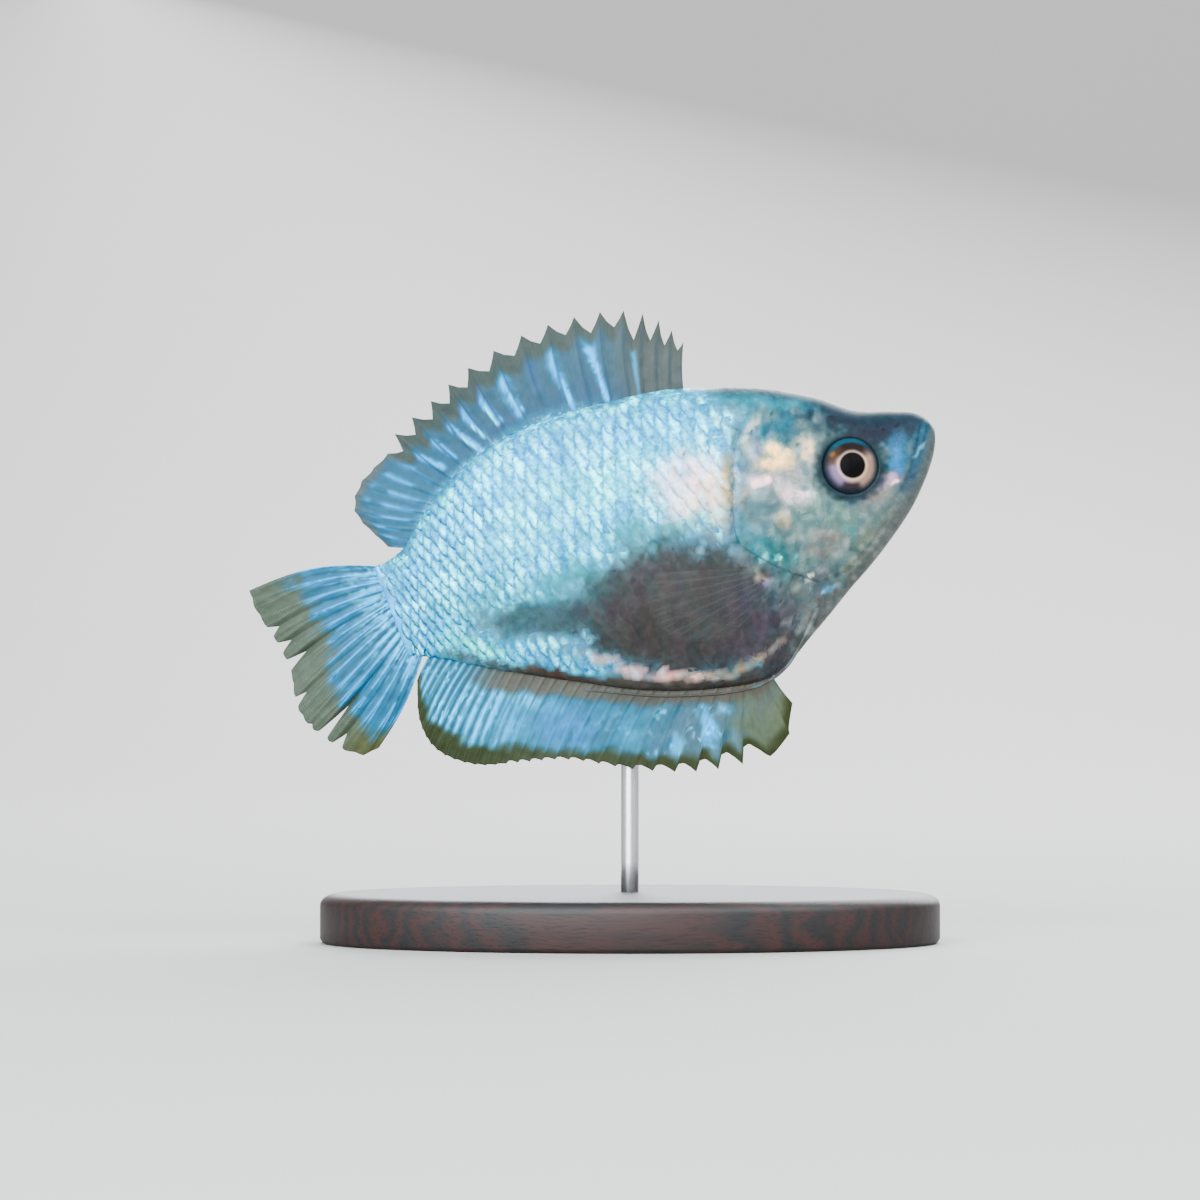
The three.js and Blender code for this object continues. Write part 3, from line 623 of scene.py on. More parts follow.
@dataclass(frozen=True)
class BrushedSteel:
    """Stainless steel rod, drawn and brushed along its length: bright with fine lines."""

    name: str = "brushed_stainless_steel"
    tone: str = "#b9bcc0"
    line: float = 0.12  # mm, coarser than the real brushing so that it shows

    def material(self) -> Material:
        """Builds the material: brushed lines drawn out along z."""
        material, add, place = new_material(self.name)
        lines = add("TexNoise", {
            "Vector": add("Mapping", {"Vector": place, "Scale": (1.0, 1.0, 0.03)}),
            "Scale": 1.0 / (self.line * MM), "Detail": 2.0, "Roughness": 0.6})
        add("OutputMaterial", (add("BsdfPrincipled", {
            "Base Color": rgba(self.tone), "Metallic": 1.0,
            "Roughness": add("MapRange", (lines, 0.3, 0.7, 0.2, 0.36)),
            "Normal": add("Bump", {"Height": lines, "Strength": 0.15, "Distance": 0.02 * MM})}),))
        return material


@dataclass(frozen=True)
class PalePaint:
    """Matt studio paint for the floor: pale and even."""

    name: str = "matt_studio_paint"
    tone: str = "#878582"
    cloud: str = "#8c8a88"

    def material(self) -> Material:
        """Builds the material: one pale tone, barely clouded."""
        material, add, place = new_material(self.name)
        cloudy = add("TexNoise", {"Vector": place, "Scale": 6.0, "Detail": 2.0, "Roughness": 0.6})
        tone = add("Mix", {0: cloudy, 6: rgba(self.tone), 7: rgba(self.cloud)}, 2, data_type="RGBA")
        add("OutputMaterial", (add("BsdfPrincipled", {"Base Color": tone, "Roughness": 0.9}),))
        return material


# The body


@dataclass
class BodyShape:
    """The plain body that the skin, scales and fins are set on.

    Each section spans its bottom and top points (x, z) and is `half` wide at the share `widest` of its
    height. Back and belly are rounder below a power of 1 and keeled above. Splines through the
    sections share t, 0 at the tail fin's base and 1 at the snout.
    """

    # top x, top z, bottom x, bottom z, half, widest, back, belly
    sections: tuple = (
        (-0.8, 5.2, -0.5, -4.5, 0.5, 0.5, 1.0, 1.0),
        (0.8, 5.25, 0.9, -5.1, 0.95, 0.5, 1.0, 1.0),
        (2.9, 6.1, 3.2, -6.3, 1.6, 0.5, 1.0, 1.05),
        (5.6, 8.4, 6.2, -8.1, 2.3, 0.52, 1.0, 1.1),
        (9.4, 10.9, 9.9, -10.2, 3.0, 0.54, 0.95, 1.15),
        (14.0, 12.6, 14.5, -12.6, 3.7, 0.55, 0.92, 1.2),
        (19.8, 13.4, 20.4, -15.6, 4.3, 0.56, 0.9, 1.2),
        (26.0, 13.0, 27.0, -17.8, 4.8, 0.56, 0.88, 1.25),
        (32.0, 12.3, 33.3, -18.6, 5.1, 0.56, 0.86, 1.3),
        (37.8, 10.6, 38.8, -15.8, 5.2, 0.52, 0.84, 1.25),
        (42.4, 8.8, 44.2, -12.5, 5.0, 0.5, 0.8, 1.15),
        (46.4, 6.5, 48.4, -9.9, 4.4, 0.5, 0.74, 1.05),
        (49.8, 3.9, 51.8, -7.4, 3.6, 0.5, 0.7, 1.0),
        (53.0, 2.7, 54.1, -5.1, 2.8, 0.5, 0.74, 0.95),
        (55.2, 1.8, 55.6, -3.2, 2.0, 0.5, 0.85, 0.95),
        (56.3, 0.7, 56.4, -1.7, 1.2, 0.5, 1.0, 1.0),
        (56.7, -0.4, 56.7, -0.6, 0.3, 0.5, 1.0, 1.0),
    )
    table_rows: int = 500
    table_turns: int = 181

    def __post_init__(self) -> None:
        """Works out the tables that turn a girth distance into a ring angle."""
        self.t = linspace(0.0, 1.0, self.table_rows)
        values = self.at(self.t)
        self.middle_x = values[:, 2] + (values[:, 0] - values[:, 2]) * values[:, 5]
        half_turn = linspace(0.0, math.pi / 2.0, self.table_turns)
        arcs = []
        for sign in (1.0, -1.0):
            ring = self.point(self.t[:, None], sign * half_turn[None, :])
            steps = norm(diff(ring, axis=1), axis=2)
            arcs.append(concatenate([zeros((self.table_rows, 1)), cumsum(steps, axis=1)], axis=1))
        self.reach = {1: arcs[0][:, -1], -1: arcs[1][:, -1]}  # girth from mid-flank to back and to belly
        share = linspace(0.0, 1.0, self.table_turns)
        self.turns = {
            sign: stack([interp(share, row / row[-1], half_turn) for row in arcs[0 if sign > 0 else 1]])
            for sign in (1, -1)
        }
        moves = [np.hypot(*diff(values[:, k : k + 2], axis=0).T) for k in (0, 2)]
        self.travel = concatenate([[0.0], cumsum(maximum(*moves))])  # along the longer outline

    def at(self, t: Array) -> Array:
        """Returns the eight values of the sections at t."""
        return spline(array(self.sections), t)

    def point(self, t: Array, angle: Array) -> Array:
        """Places a point of the body's surface.

        The height runs from the widest level to the top or bottom point by |sin a|, and the width is
        half times |cos a| to the power of the back or the belly.

        Args:
            t: share from the tail base to the snout.
            angle: 0 at mid-flank on the left, a quarter turn at the back.

        Returns:
            Places in the fish's frame, mm.
        """
        t, angle = broadcast_arrays(t, angle)
        v = self.at(t)
        rise, across = np.sin(angle), np.cos(angle)
        upper = rise >= 0.0
        end = where(upper[..., None], v[..., 0:2], v[..., 2:4])
        middle = v[..., 2:4] + (v[..., 0:2] - v[..., 2:4]) * v[..., 5:6]
        flat = middle + (end - middle) * np.abs(rise)[..., None]
        power = where(upper, v[..., 6], v[..., 7])
        width = v[..., 4] * np.sign(across) * maximum(np.abs(across), 1e-9) ** power
        return stack([flat[..., 0], width, flat[..., 1]], -1)

    def normal(self, t: Array, angle: Array) -> Array:
        """Returns unit normals, from small steps along t and the angle."""
        dt, da = 0.002, 0.01
        low, high = clip(t - dt, 0.0, 1.0), clip(t + dt, 0.0, 1.0)
        along = self.point(high, angle) - self.point(low, angle)
        around = self.point(t, angle + da) - self.point(t, angle - da)
        n = np.cross(around, along)
        return n / maximum(norm(n, axis=-1), 1e-9)[..., None]

    def t_at(self, x: Array) -> Array:
        """Returns the t of the section whose mid-flank stands at x."""
        return interp(x, self.middle_x, self.t)

    def girth(self, x: Array, sign: int) -> Array:
        """Returns the distance over the skin from mid-flank to the back (1) or the belly (-1)."""
        return interp(self.t_at(x), self.t, self.reach[sign])

    def on_flank(self, x: Array, arc: Array, side: Side) -> tuple[Array, Array, Array]:
        """Places points by x and by distance over the skin from mid-flank, up positive.

        Past the back or the belly a point comes down the other side.

        Args:
            x: the place along the body, mm.
            arc: distance over the skin, mm.
            side: the side that is measured on.

        Returns:
            The points, their unit normals, and their places on an unwrap of the skin.
        """
        t = self.t_at(x)
        sign = where(arc >= 0.0, 1, -1)
        reach = where(sign > 0, interp(t, self.t, self.reach[1]), interp(t, self.t, self.reach[-1]))
        over = np.abs(arc) > reach
        inside = where(over, 2.0 * reach - np.abs(arc), np.abs(arc)) / reach
        row = t * (self.table_rows - 1)
        column = clip(inside, 0.0, 1.0) * (self.table_turns - 1)
        i = minimum(row.astype(int), self.table_rows - 2)
        k = minimum(column.astype(int), self.table_turns - 2)
        wi, wk = row - i, column - k

        def turn(table: Array) -> Array:
            """Reads a table between its rows and columns."""
            low = table[i, k] * (1.0 - wk) + table[i, k + 1] * wk
            high = table[i + 1, k] * (1.0 - wk) + table[i + 1, k + 1] * wk
            return low * (1.0 - wi) + high * wi

        angle = sign * where(sign > 0, turn(self.turns[1]), turn(self.turns[-1]))
        mirror = where(over, -1.0, 1.0) * side.value
        points, normals = self.point(t, angle), self.normal(t, angle)
        points[..., 1] *= mirror
        normals[..., 1] *= mirror
        u = interp(t, self.t, self.travel) / self.travel[-1]
        unwrap = stack([u, 0.5 + 0.49 * sign * np.abs(arc) / maximum(reach.max(), 1.0)], -1)
        return points, normals, unwrap

    def share_at(self, x: Array, z: Array) -> tuple[Array, Array]:
        """Finds the section through (x, z) by halving.

        Returns:
            Its t, and the share of its height from bottom to top where the point lies.
        """
        low, high = zeros(np.shape(x)), np.ones(np.shape(x))
        for _ in range(40):
            mid = (low + high) / 2.0
            v = self.at(mid)
            cross = (v[..., 0] - v[..., 2]) * (z - v[..., 3]) - (v[..., 1] - v[..., 3]) * (x - v[..., 2])
            low, high = where(cross < 0.0, mid, low), where(cross < 0.0, high, mid)
        v = self.at(low)
        run_x, run_z = v[..., 0] - v[..., 2], v[..., 1] - v[..., 3]
        share = ((x - v[..., 2]) * run_x + (z - v[..., 3]) * run_z) / (run_x**2 + run_z**2)
        return low, share

    def flank(self, x: Array, z: Array) -> Array:
        """Returns how far the flank stands from the middle plane at (x, z), mm."""
        t, share = self.share_at(x, z)
        v = self.at(t)
        widest = v[..., 5]
        upper = share > widest
        rise = where(upper, (share - widest) / (1.0 - widest), (widest - share) / widest)
        power = where(upper, v[..., 6], v[..., 7])
        return v[..., 4] * np.sqrt(clip(1.0 - rise**2, 0.0, 1.0)) ** power

    def outline(self, x: Array, sign: int, grow: float) -> Array:
        """Returns points (x, z) of the back's (1) or belly's (-1) outline, moved out by grow, mm."""
        k = 0 if sign > 0 else 2
        t = interp(x, self.at(self.t)[:, k], self.t)
        run = (self.at(minimum(t + 0.01, 1.0)) - self.at(maximum(t - 0.01, 0.0)))[..., k : k + 2]
        run /= norm(run, axis=-1)[..., None]
        return self.at(t)[..., k : k + 2] + stack([-run[..., 1], run[..., 0]], -1) * sign * grow

    def depth_below_back(self, x: Array, z: Array) -> Array:
        """Returns how far (x, z) lies below the back's outline, mm."""
        line = self.at(self.t)
        return interp(x, line[:, 0], line[:, 1]) - z

    def height_over_belly(self, x: Array, z: Array) -> Array:
        """Returns how far (x, z) lies above the belly's outline, mm."""
        line = self.at(self.t)
        return z - interp(x, line[:, 2], line[:, 3])


@dataclass
class HeadForms:
    """The folds, lips, pits and rims of the head, as heights over the plain body in mm."""

    eye: Pair = (47.35, -1.3)
    gill_rear: tuple = (
        (39.0, 6.9), (37.3, 4.7), (35.8, 1.4), (34.6, -2.0), (34.2, -4.7), (35.7, -7.0), (38.0, -9.3),
        (40.6, -11.3))
    gill_rise: float = 0.09
    fore_gill: tuple = ((42.6, 3.4), (41.7, 0.6), (41.4, -2.6), (41.9, -6.0), (43.6, -8.8), (46.2, -9.9))
    throat_fold: tuple = ((40.6, -11.3), (43.4, -11.2), (46.3, -9.7), (49.3, -7.5))
    cheek_fold: tuple = ((45.3, -5.3), (47.7, -5.7), (50.2, -4.9), (52.0, -3.9))
    jaw_fold: tuple = ((52.8, -4.1), (51.2, -5.5), (49.2, -7.0))
    folds: tuple = (  # a line's name, its depth and its width, mm
        ("fore_gill", 0.09, 0.32), ("throat_fold", 0.14, 0.22), ("cheek_fold", 0.07, 0.4),
        ("jaw_fold", 0.1, 0.3))
    eye_socket: float = 1.3  # mm deep, under the eyeball
    mouth: tuple = ((55.95, 1.2), (54.7, -1.3), (52.8, -3.7))
    lip_rise: float = 0.045
    lip_offset: float = 0.42
    mouth_depth: float = 0.045
    nostrils: tuple = ((53.1, 1.15, 0.27), (51.7, 1.2, 0.22))  # x, z, radius
    nostril_depth: float = 0.07

    def __post_init__(self) -> None:
        """Draws the lines that the forms follow."""
        self.gill_line = line_through(self.gill_rear, 80)
        self.lines = {name: line_through(getattr(self, name)) for name, _, _ in self.folds}
        a, b, c = (array(p) for p in self.mouth)
        w = linspace(0.0, 1.0, 50)[:, None]
        self.gape = (1.0 - w) ** 2 * a + 2.0 * w * (1.0 - w) * b + w**2 * c

    def before_gill(self, x: Array, z: Array) -> Array:
        """Returns the distance to the gill cover's rear edge, positive on the head's side, mm."""
        gap, _ = distance_to(x, z, self.gill_line)
        rear = interp(-z, -self.gill_line[:, 1], self.gill_line[:, 0])
        return where(x > rear, gap, -gap)

    def gill_span(self, z: Array) -> Array:
        """Returns 1 at the levels that the gill cover's free edge spans and 0 above and below."""
        return drop(5.2, 7.6, z) * smooth(-12.8, -10.8, z)

    def eye_distance(self, x: Array, z: Array) -> Array:
        """Returns the distance from the eye's middle, mm."""
        return np.hypot(x - self.eye[0], z - self.eye[1])

    def height(self, x: Array, z: Array) -> Array:
        """Adds up the forms at (x, z): the gill cover, folds, eye socket, mouth and nostrils."""
        edge = self.before_gill(x, z)
        span = self.gill_span(z)
        plate = smooth(0.0, 0.22, edge) * (1.0 - 0.8 * smooth(0.8, 6.5, edge)) * drop(6.0, 9.0, edge)
        total = span * (self.gill_rise * plate - 0.1 * bell(edge + 0.14, 0.2) * (edge < 0.1))
        for name, depth, width in self.folds:
            gap, share = distance_to(x, z, self.lines[name])
            total = total - depth * bell(gap, width) * smooth(0.0, 0.15, share) * drop(0.85, 1.0, share)
        total = total - self.eye_socket * drop(2.55, 2.9, self.eye_distance(x, z))
        gap, share = distance_to(x, z, self.gape)
        fade = smooth(0.0, 0.2, share) * drop(0.75, 1.0, share)
        total = total + self.lip_rise * bell(gap - self.lip_offset, 0.3) * fade
        depth = (0.4 + 0.6 * smooth(0.0, 0.15, share)) * (1.0 - 0.6 * smooth(0.85, 1.0, share))
        total = total - self.mouth_depth * bell(gap, 0.13) * depth
        for pit_x, pit_z, radius in self.nostrils:
            gap = np.hypot(x - pit_x, z - pit_z)
            total = total - self.nostril_depth * drop(radius * 0.3, radius * 1.3, gap)
        return total


# Markings


@dataclass(frozen=True)
class Mark:
    """A soft-edged marking on the fish's side, an ellipse with a wandering edge.

    x and z place it in the display's frame in mm, as the fish stands. long and wide are its half
    lengths, turn tilts it in degrees, and soft is how much of its radius is the fading edge.
    """

    x: float
    z: float
    long: float
    wide: float
    turn: float
    colour: str
    strength: float = 0.9
    soft: float = 0.5


# From the back to the belly, then the head. The later ones lie over the earlier.
MARKS = tuple(Mark(*row) for row in (
    # Broad tones of the flank
    (-2, 45.5, 13, 5, 24, "#bfe8f6", 0.9, 0.8), (-12, 41, 8, 5, 40, "#c3e6f2", 0.75, 0.8),
    (-4, 38.5, 11, 3.6, 16, "#96d2e0", 0.8, 0.8), (-17, 35.5, 5, 3.6, 20, "#a8d8e0", 0.7, 0.8),
    (-14, 46, 8, 2.6, 44, "#9cd8f2", 0.8, 0.8), (-15, 30.6, 6, 2.6, -14, "#bdf2fa", 1, 0.8),
    (-8, 34.6, 9, 2.2, 10, "#74aab4", 0.8, 0.8), (8.5, 51, 6, 2.6, -4, "#aee2f4", 0.9, 0.8),
    (5.8, 45.8, 6.4, 5.4, 24, "#efe8e9", 1, 0.7), (8.2, 43.6, 2.2, 3.4, 10, "#f2e6dc", 0.9, 0.7),
    (-1, 41.3, 3.4, 1.2, 18, "#6fb0b8", 0.6, 0.7), (2, 40.6, 5, 1.6, 16, "#5f989a", 0.75, 0.8),
    # The dark see-through belly
    (0, 36.6, 9, 3, 14, "#6b9ea2", 0.8, 0.9), (-7.6, 32.4, 9.6, 2.2, 5, "#6c868c", 1, 0.6),
    (-1, 32.2, 6, 4, 0, "#66787c", 0.9, 0.8), (5.8, 33.4, 11.2, 7.6, 8, "#6a6e70", 0.97, 0.3),
    (7.2, 33, 9.6, 6, 8, "#686463", 0.95), (3.6, 31.2, 6, 3, 8, "#646261", 0.85, 0.7),
    (11.6, 34.6, 2.4, 2.8, -30, "#68626c", 0.8, 0.8), (16, 31.4, 2.6, 3.2, 44, "#87888c", 0.8, 0.8),
    (19.2, 33.4, 2.6, 3.2, 50, "#7c7f80", 0.9, 0.7), (-12.4, 34.2, 3.6, 0.3, 12, "#c4eaf0", 0.85),
    (12.8, 30.4, 4.2, 2.8, 42, "#6c6870", 0.95, 0.6), (14.8, 28.8, 3.6, 2.4, 44, "#6e6a6e", 1),
    # The brown band along the anal fin's root
    (-13.4, 27.7, 6, 0.8, -16, "#78827e"), (-6.6, 26.6, 5.8, 0.9, -12, "#7a726a", 1),
    (2, 25.6, 8, 1.5, -3, "#7c7873", 1, 0.3), (9.6, 25.8, 5, 1.3, 8, "#74726f", 1, 0.4),
    # The bright speckled line over it
    (-6.5, 29.4, 3.6, 1, -14, "#b4c8ce", 0.8, 0.8), (-2.8, 28.2, 2.6, 0.8, -18, "#dccfd2", 0.95, 0.7),
    (0.4, 27.2, 2.4, 0.6, -12, "#e6d8da", 1, 0.6), (3.4, 26.8, 2.4, 0.5, -4, "#ead8d8", 1, 0.6),
    (6.4, 26.7, 2.4, 0.5, 0, "#e8d8d0", 1, 0.6), (9.2, 26.9, 2.2, 0.5, 6, "#ddcabc", 0.95, 0.6),
    (12, 27.9, 2, 0.5, 22, "#cfc0b0", 0.9, 0.6), (14.4, 29.6, 1.8, 0.35, 44, "#cdb8aa", 0.8, 0.6),
    (17.8, 32.4, 2.2, 0.42, 52, "#c0bcb8", 0.7, 0.6), (-15.6, 28, 4.2, 0.45, -14, "#7fa8b2", 0.7, 0.6),
    # Gill cover and shoulder
    (11, 41.8, 2, 4.4, 4, "#98a6a4", 0.85, 0.7), (9.6, 46, 0.6, 2.8, 2, "#e2cda8", 0.95, 0.4),
    (10.9, 47.4, 0.5, 0.9, 0, "#5f9cc6"), (11, 44.4, 0.32, 1.8, 2, "#6b7a80", 0.7, 0.6),
    (13.4, 50.6, 4.6, 1.8, -6, "#5a8c9c", 0.8, 0.7), (15.4, 52, 1.2, 0.8, 20, "#4f8aa6", 0.8, 0.7),
    (14.2, 51.2, 1.3, 0.7, 10, "#3f7488", 0.8, 0.6), (12, 51.6, 1.5, 0.42, 44, "#dcd4cc", 0.85, 0.6),
    (14.5, 46.4, 4.2, 3.2, 10, "#c6c3c4", 0.9, 0.7), (14.4, 48.6, 2.4, 1.5, 6, "#f2e2c8", 1),
    (11.5, 49.8, 0.8, 1, 10, "#e0dad2", 0.9, 0.6), (17.6, 49.2, 1.1, 1.6, 12, "#e4d8c8", 0.95, 0.6),
    (12.4, 49.3, 0.9, 1, 0, "#d2ccda"), (13.2, 46.2, 1.4, 0.8, 16, "#eedfe2", 0.95, 0.6),
    (11.4, 44.9, 0.9, 0.6, 24, "#e2d2c8", 0.85, 0.6), (13.4, 46.3, 1.6, 0.9, 14, "#f0e0e2", 0.95),
    (13.6, 42.4, 3.6, 2.8, 0, "#7f979a", 0.95, 0.8), (15.2, 42.8, 0.8, 0.6, 10, "#c2b8a4", 0.75),
    (17.4, 40.6, 1, 1.6, 20, "#cfc4c0", 0.9, 0.6), (14, 39.2, 3.4, 1.3, -24, "#5c9496", 0.8, 0.7),
    (14.6, 38.5, 0.5, 0.22, 10, "#b8f0ec"), (13.4, 38.7, 0.35, 0.2, 10, "#a8ece4", 0.85),
    (16.4, 38.4, 0.4, 0.2, 10, "#8fe0dc", 0.85), (10.6, 40.2, 0.8, 0.7, 0, "#3f868c", 0.7, 0.6),
    # Cheek, throat and jaws
    (19.6, 42.6, 4.4, 3.6, -40, "#8ea8a2", 0.8, 0.7), (16.5, 44.8, 2, 1.3, -10, "#ece2e4", 0.95, 0.7),
    (15.2, 42.2, 1, 1.1, 10, "#cfc4b4", 0.85, 0.6), (21.6, 41.2, 1.6, 0.7, 0, "#86b0ae", 0.7, 0.7),
    (19.2, 40.2, 2.2, 1.5, 20, "#b4a8a2", 0.7, 0.6), (22.8, 38.8, 4.6, 1.4, 50, "#98a094", 0.85, 0.6),
    (18.6, 36.2, 2, 1.6, 30, "#787c80", 0.75, 0.7), (20, 35.4, 1.2, 0.32, 26, "#a8d8f2", 0.95),
    (17.8, 36.6, 0.45, 0.14, 32, "#f4f4ec"), (16.4, 35.2, 0.4, 0.14, 40, "#e8e8ec", 0.85),
    (13.2, 36.5, 1.5, 0.36, -42, "#cdbfb0"), (14, 35.9, 0.8, 0.34, -42, "#b4b4e4", 0.85),
    (24.4, 45.2, 2.6, 1.8, 30, "#c0b4b0", 0.8, 0.7), (25.6, 46.2, 2.1, 0.8, 32, "#cdc0cc", 0.95, 0.6),
    (26.3, 46.1, 0.45, 0.25, 32, "#f4e6e8", 0.9, 0.6), (22.2, 44.2, 1.2, 0.8, 0, "#9fb8c4", 0.7, 0.6),
    (28.2, 45.8, 1.2, 1.6, 60, "#587084", 0.85, 0.7), (26, 42, 2.6, 1.2, 56, "#9ca29c", 0.8, 0.6),
    # Forehead and snout
    (24, 52.2, 8.4, 2.5, -4, "#2e4a56", 1, 0.6), (24.6, 50.9, 2, 1, 10, "#1f3e50", 0.85, 0.7),
    (26.6, 49.4, 1.5, 2.5, 0, "#3a7aa4", 0.9, 0.7), (26.6, 48.2, 1.1, 1.4, 0, "#4c98c8", 0.85, 0.7),
    # The thin pale streak at x 28.8, z 49.2 is a painted highlight on the lip's edge
    (29.2, 49, 1.2, 4, -10, "#567c92", 0.85, 0.6), (28.8, 49.2, 0.22, 1.1, -28, "#9cc4d4", 0.8),
    (25.6, 52, 0.9, 0.5, 0, "#27465c", 0.8, 0.6),
))

# Dark specks and the broken dashes of the side line: x, z, half length, tilt in degrees
SPECKS = (
    (-1.8, 48.4, 0.45, 30), (0.6, 47.2, 0.5, 30), (2.4, 46.4, 0.4, 30), (1.0, 45.2, 0.7, 30),
    (3.0, 44.9, 0.5, 28), (5.2, 48.6, 0.4, 32), (4.3, 42.3, 0.6, 26), (14.0, 52.8, 0.22, 10),
    (11.9, 51.0, 0.16, 0), (14.4, 50.3, 0.3, 0), (16.6, 49.8, 0.3, 0), (2.2, 50.6, 0.35, 30),
)
# Bright dots that stand alone on the lower flank: x, z, radius
DOTS = (
    (-1.5, 39.5, 0.2), (-1.0, 40.2, 0.16), (0.2, 40.8, 0.2), (1.4, 41.1, 0.22), (2.6, 39.4, 0.2),
    (6.8, 39.1, 0.26), (1.2, 37.9, 0.16), (4.0, 41.6, 0.16),
)


def lay_marks(colour: Array, marks: tuple, display: Array, seen: Array) -> Array:
    """Lays marks over colours, in order. Noise makes their outlines wander.

    Args:
        colour: seen colours, shape (n, 3).
        marks: the marks, each over the ones before.
        display: places in the display's frame, mm.
        seen: places that the noise is read at, mm.

    Returns:
        The new colours.
    """
    warp = 1.7 * stack([cloud(seen, 1.3, 7), cloud(seen, 1.3, 8)], -1) - 0.85
    warp = warp + 0.7 * stack([cloud(seen, 0.42, 9), cloud(seen, 0.42, 10)], -1) - 0.35
    fine = cloud(seen, 0.45, 5) - 0.5
    for mark in marks:
        give = min(1.0, 0.35 + 0.3 * min(mark.long, mark.wide))
        dx, dz = display[:, 0] - mark.x + give * warp[:, 0], display[:, 2] - mark.z + give * warp[:, 1]
        r = radii_off(dx, dz, mark.long, mark.wide, mark.turn) + 0.2 * fine
        weight = mark.strength * drop(1.0 - mark.soft, 1.0 + 0.4 * mark.soft, r)
        colour = blend(colour, srgb(mark.colour), weight)
    return colour


@dataclass
class Markings:
    """The colours of the skin and the coat, one for each place on the fish's two sides."""

    body: BodyShape
    head: HeadForms
    ground: str = "#86cce6"
    back: str = "#4fa9c8"
    ridge: str = "#2f7488"
    face: str = "#889b9a"
    brow: str = "#3d5a66"
    breast: str = "#8c9290"
    # painted shade in the dip round the eyeball
    socket_shade: str = "#33444c"

    def colours(self, fish: Array) -> Array:
        """Works out the pigment of the skin at places in the fish's frame.

        Args:
            fish: places, mm, shape (n, 3).

        Returns:
            Pigments, the same shape.
        """
        x, z = fish[:, 0], fish[:, 2]
        display = to_display(fish) / MM
        # The two sides wander apart, as they do on a real fish
        seen = stack([display[:, 0], np.sign(fish[:, 1]) * 40.0, display[:, 2]], -1)
        wander = cloud(seen, 1.5, 3) + 0.5 * cloud(seen, 0.6, 4) - 0.75
        fine = cloud(seen, 0.45, 5) - 0.5
        depth = self.body.depth_below_back(x, z) + 1.2 * wander
        over = self.body.height_over_belly(x, z) + 0.8 * wander
        on_head = smooth(34.8, 38.6, x + 1.5 * wander)
        colour = layered(
            srgb(self.ground), (self.face, on_head), (self.back, 0.9 * drop(0.6, 3.6, depth)))
        colour = lay_marks(colour, MARKS, display, seen)
        specks = smooth(0.4, 0.66, cloud(seen, 0.5, 17)) * drop(1.2, 3.0, depth) * (1.0 - on_head)
        colour = layered(
            colour, (self.ridge, 0.25 * drop(0.0, 0.9, depth) * (1.0 - on_head)),
            ("#c8f2fc", 0.85 * specks), (self.brow, 0.85 * drop(0.2, 1.8, depth) * on_head),
            (self.breast, 0.85 * (smooth(33.0, 38.0, x) * drop(0.8, 2.6, over))))
        bluish = 1.0 - 0.7 * smooth(0.84, 0.96, colour[:, 0] / colour[:, 2])
        bright = smooth(0.45, 0.65, colour.mean(axis=1)) * (1.0 - on_head) * bluish
        shimmer = cloud(seen, 1.9, 11) + 0.4 * cloud(seen, 0.7, 12)
        ring, edge = self.head.eye_distance(x, z), self.head.before_gill(x, z)
        gap, _ = distance_to(x, z, self.head.gape)
        # Painted shade: the ring round the eye, the line just behind the gill cover's free edge and the
        # mouth's line darken the dip and grooves there
        colour = layered(
            colour, ("#bfe8fb", 0.45 * smooth(0.72, 0.95, shimmer) * bright),
            ("#76bcd8", 0.5 * drop(0.42, 0.62, shimmer) * bright),
            (self.socket_shade, 0.85 * drop(2.9, 4.2, ring + 0.5 * fine)),
            ("#4a6470", 0.6 * bell(edge + 0.08, 0.24) * self.head.gill_span(z)),
            ("#2c4250", 0.2 * bell(gap, 0.2) * (x > 52.0)))
        # Painted shade inside the nostrils' pits
        for pit_x, pit_z, radius in self.head.nostrils:
            gap = np.hypot(x - pit_x, z - pit_z)
            colour = layered(colour, ("#1c303c", 0.3 * drop(radius * 0.5, radius * 1.6, gap)))
        for speck_x, speck_z, half, tilt in SPECKS:
            r = radii_off(display[:, 0] - speck_x, display[:, 2] - speck_z, half, 0.16, tilt)
            colour = layered(colour, ("#31505a", 0.75 * drop(0.5, 1.2, r)))
        for dot_x, dot_z, radius in DOTS:
            r = np.hypot(display[:, 0] - dot_x, display[:, 2] - dot_z) / radius
            colour = layered(colour, ("#d8f6fc", 0.85 * drop(0.3, 0.9, r)))
        plates = 1.2 * smooth(33.0, 36.0, x) * drop(46.0, 50.0, x)
        plates = plates * smooth(0.5, 2.5, depth) * smooth(3.6, 4.6, ring)
        colour = layered(
            colour, ("#dfe0de", 0.3 * plates * smooth(0.5, 0.85, cloud(seen, 0.75, 15))),
            ("#5a8088", 0.35 * plates * drop(0.15, 0.5, cloud(seen, 0.8, 16))))
        drawn = cloud(stack([seen[:, 0] / 0.3, seen[:, 1], seen[:, 2] / 1.5], -1), 1.0, 13) - 0.5
        gill = smooth(29.0, 34.0, x) * drop(43.0, 46.0, x) * smooth(1.0, 3.0, depth)
        return pigment(colour) * (1.0 + 0.35 * fine + 0.7 * gill * drawn)[:, None]


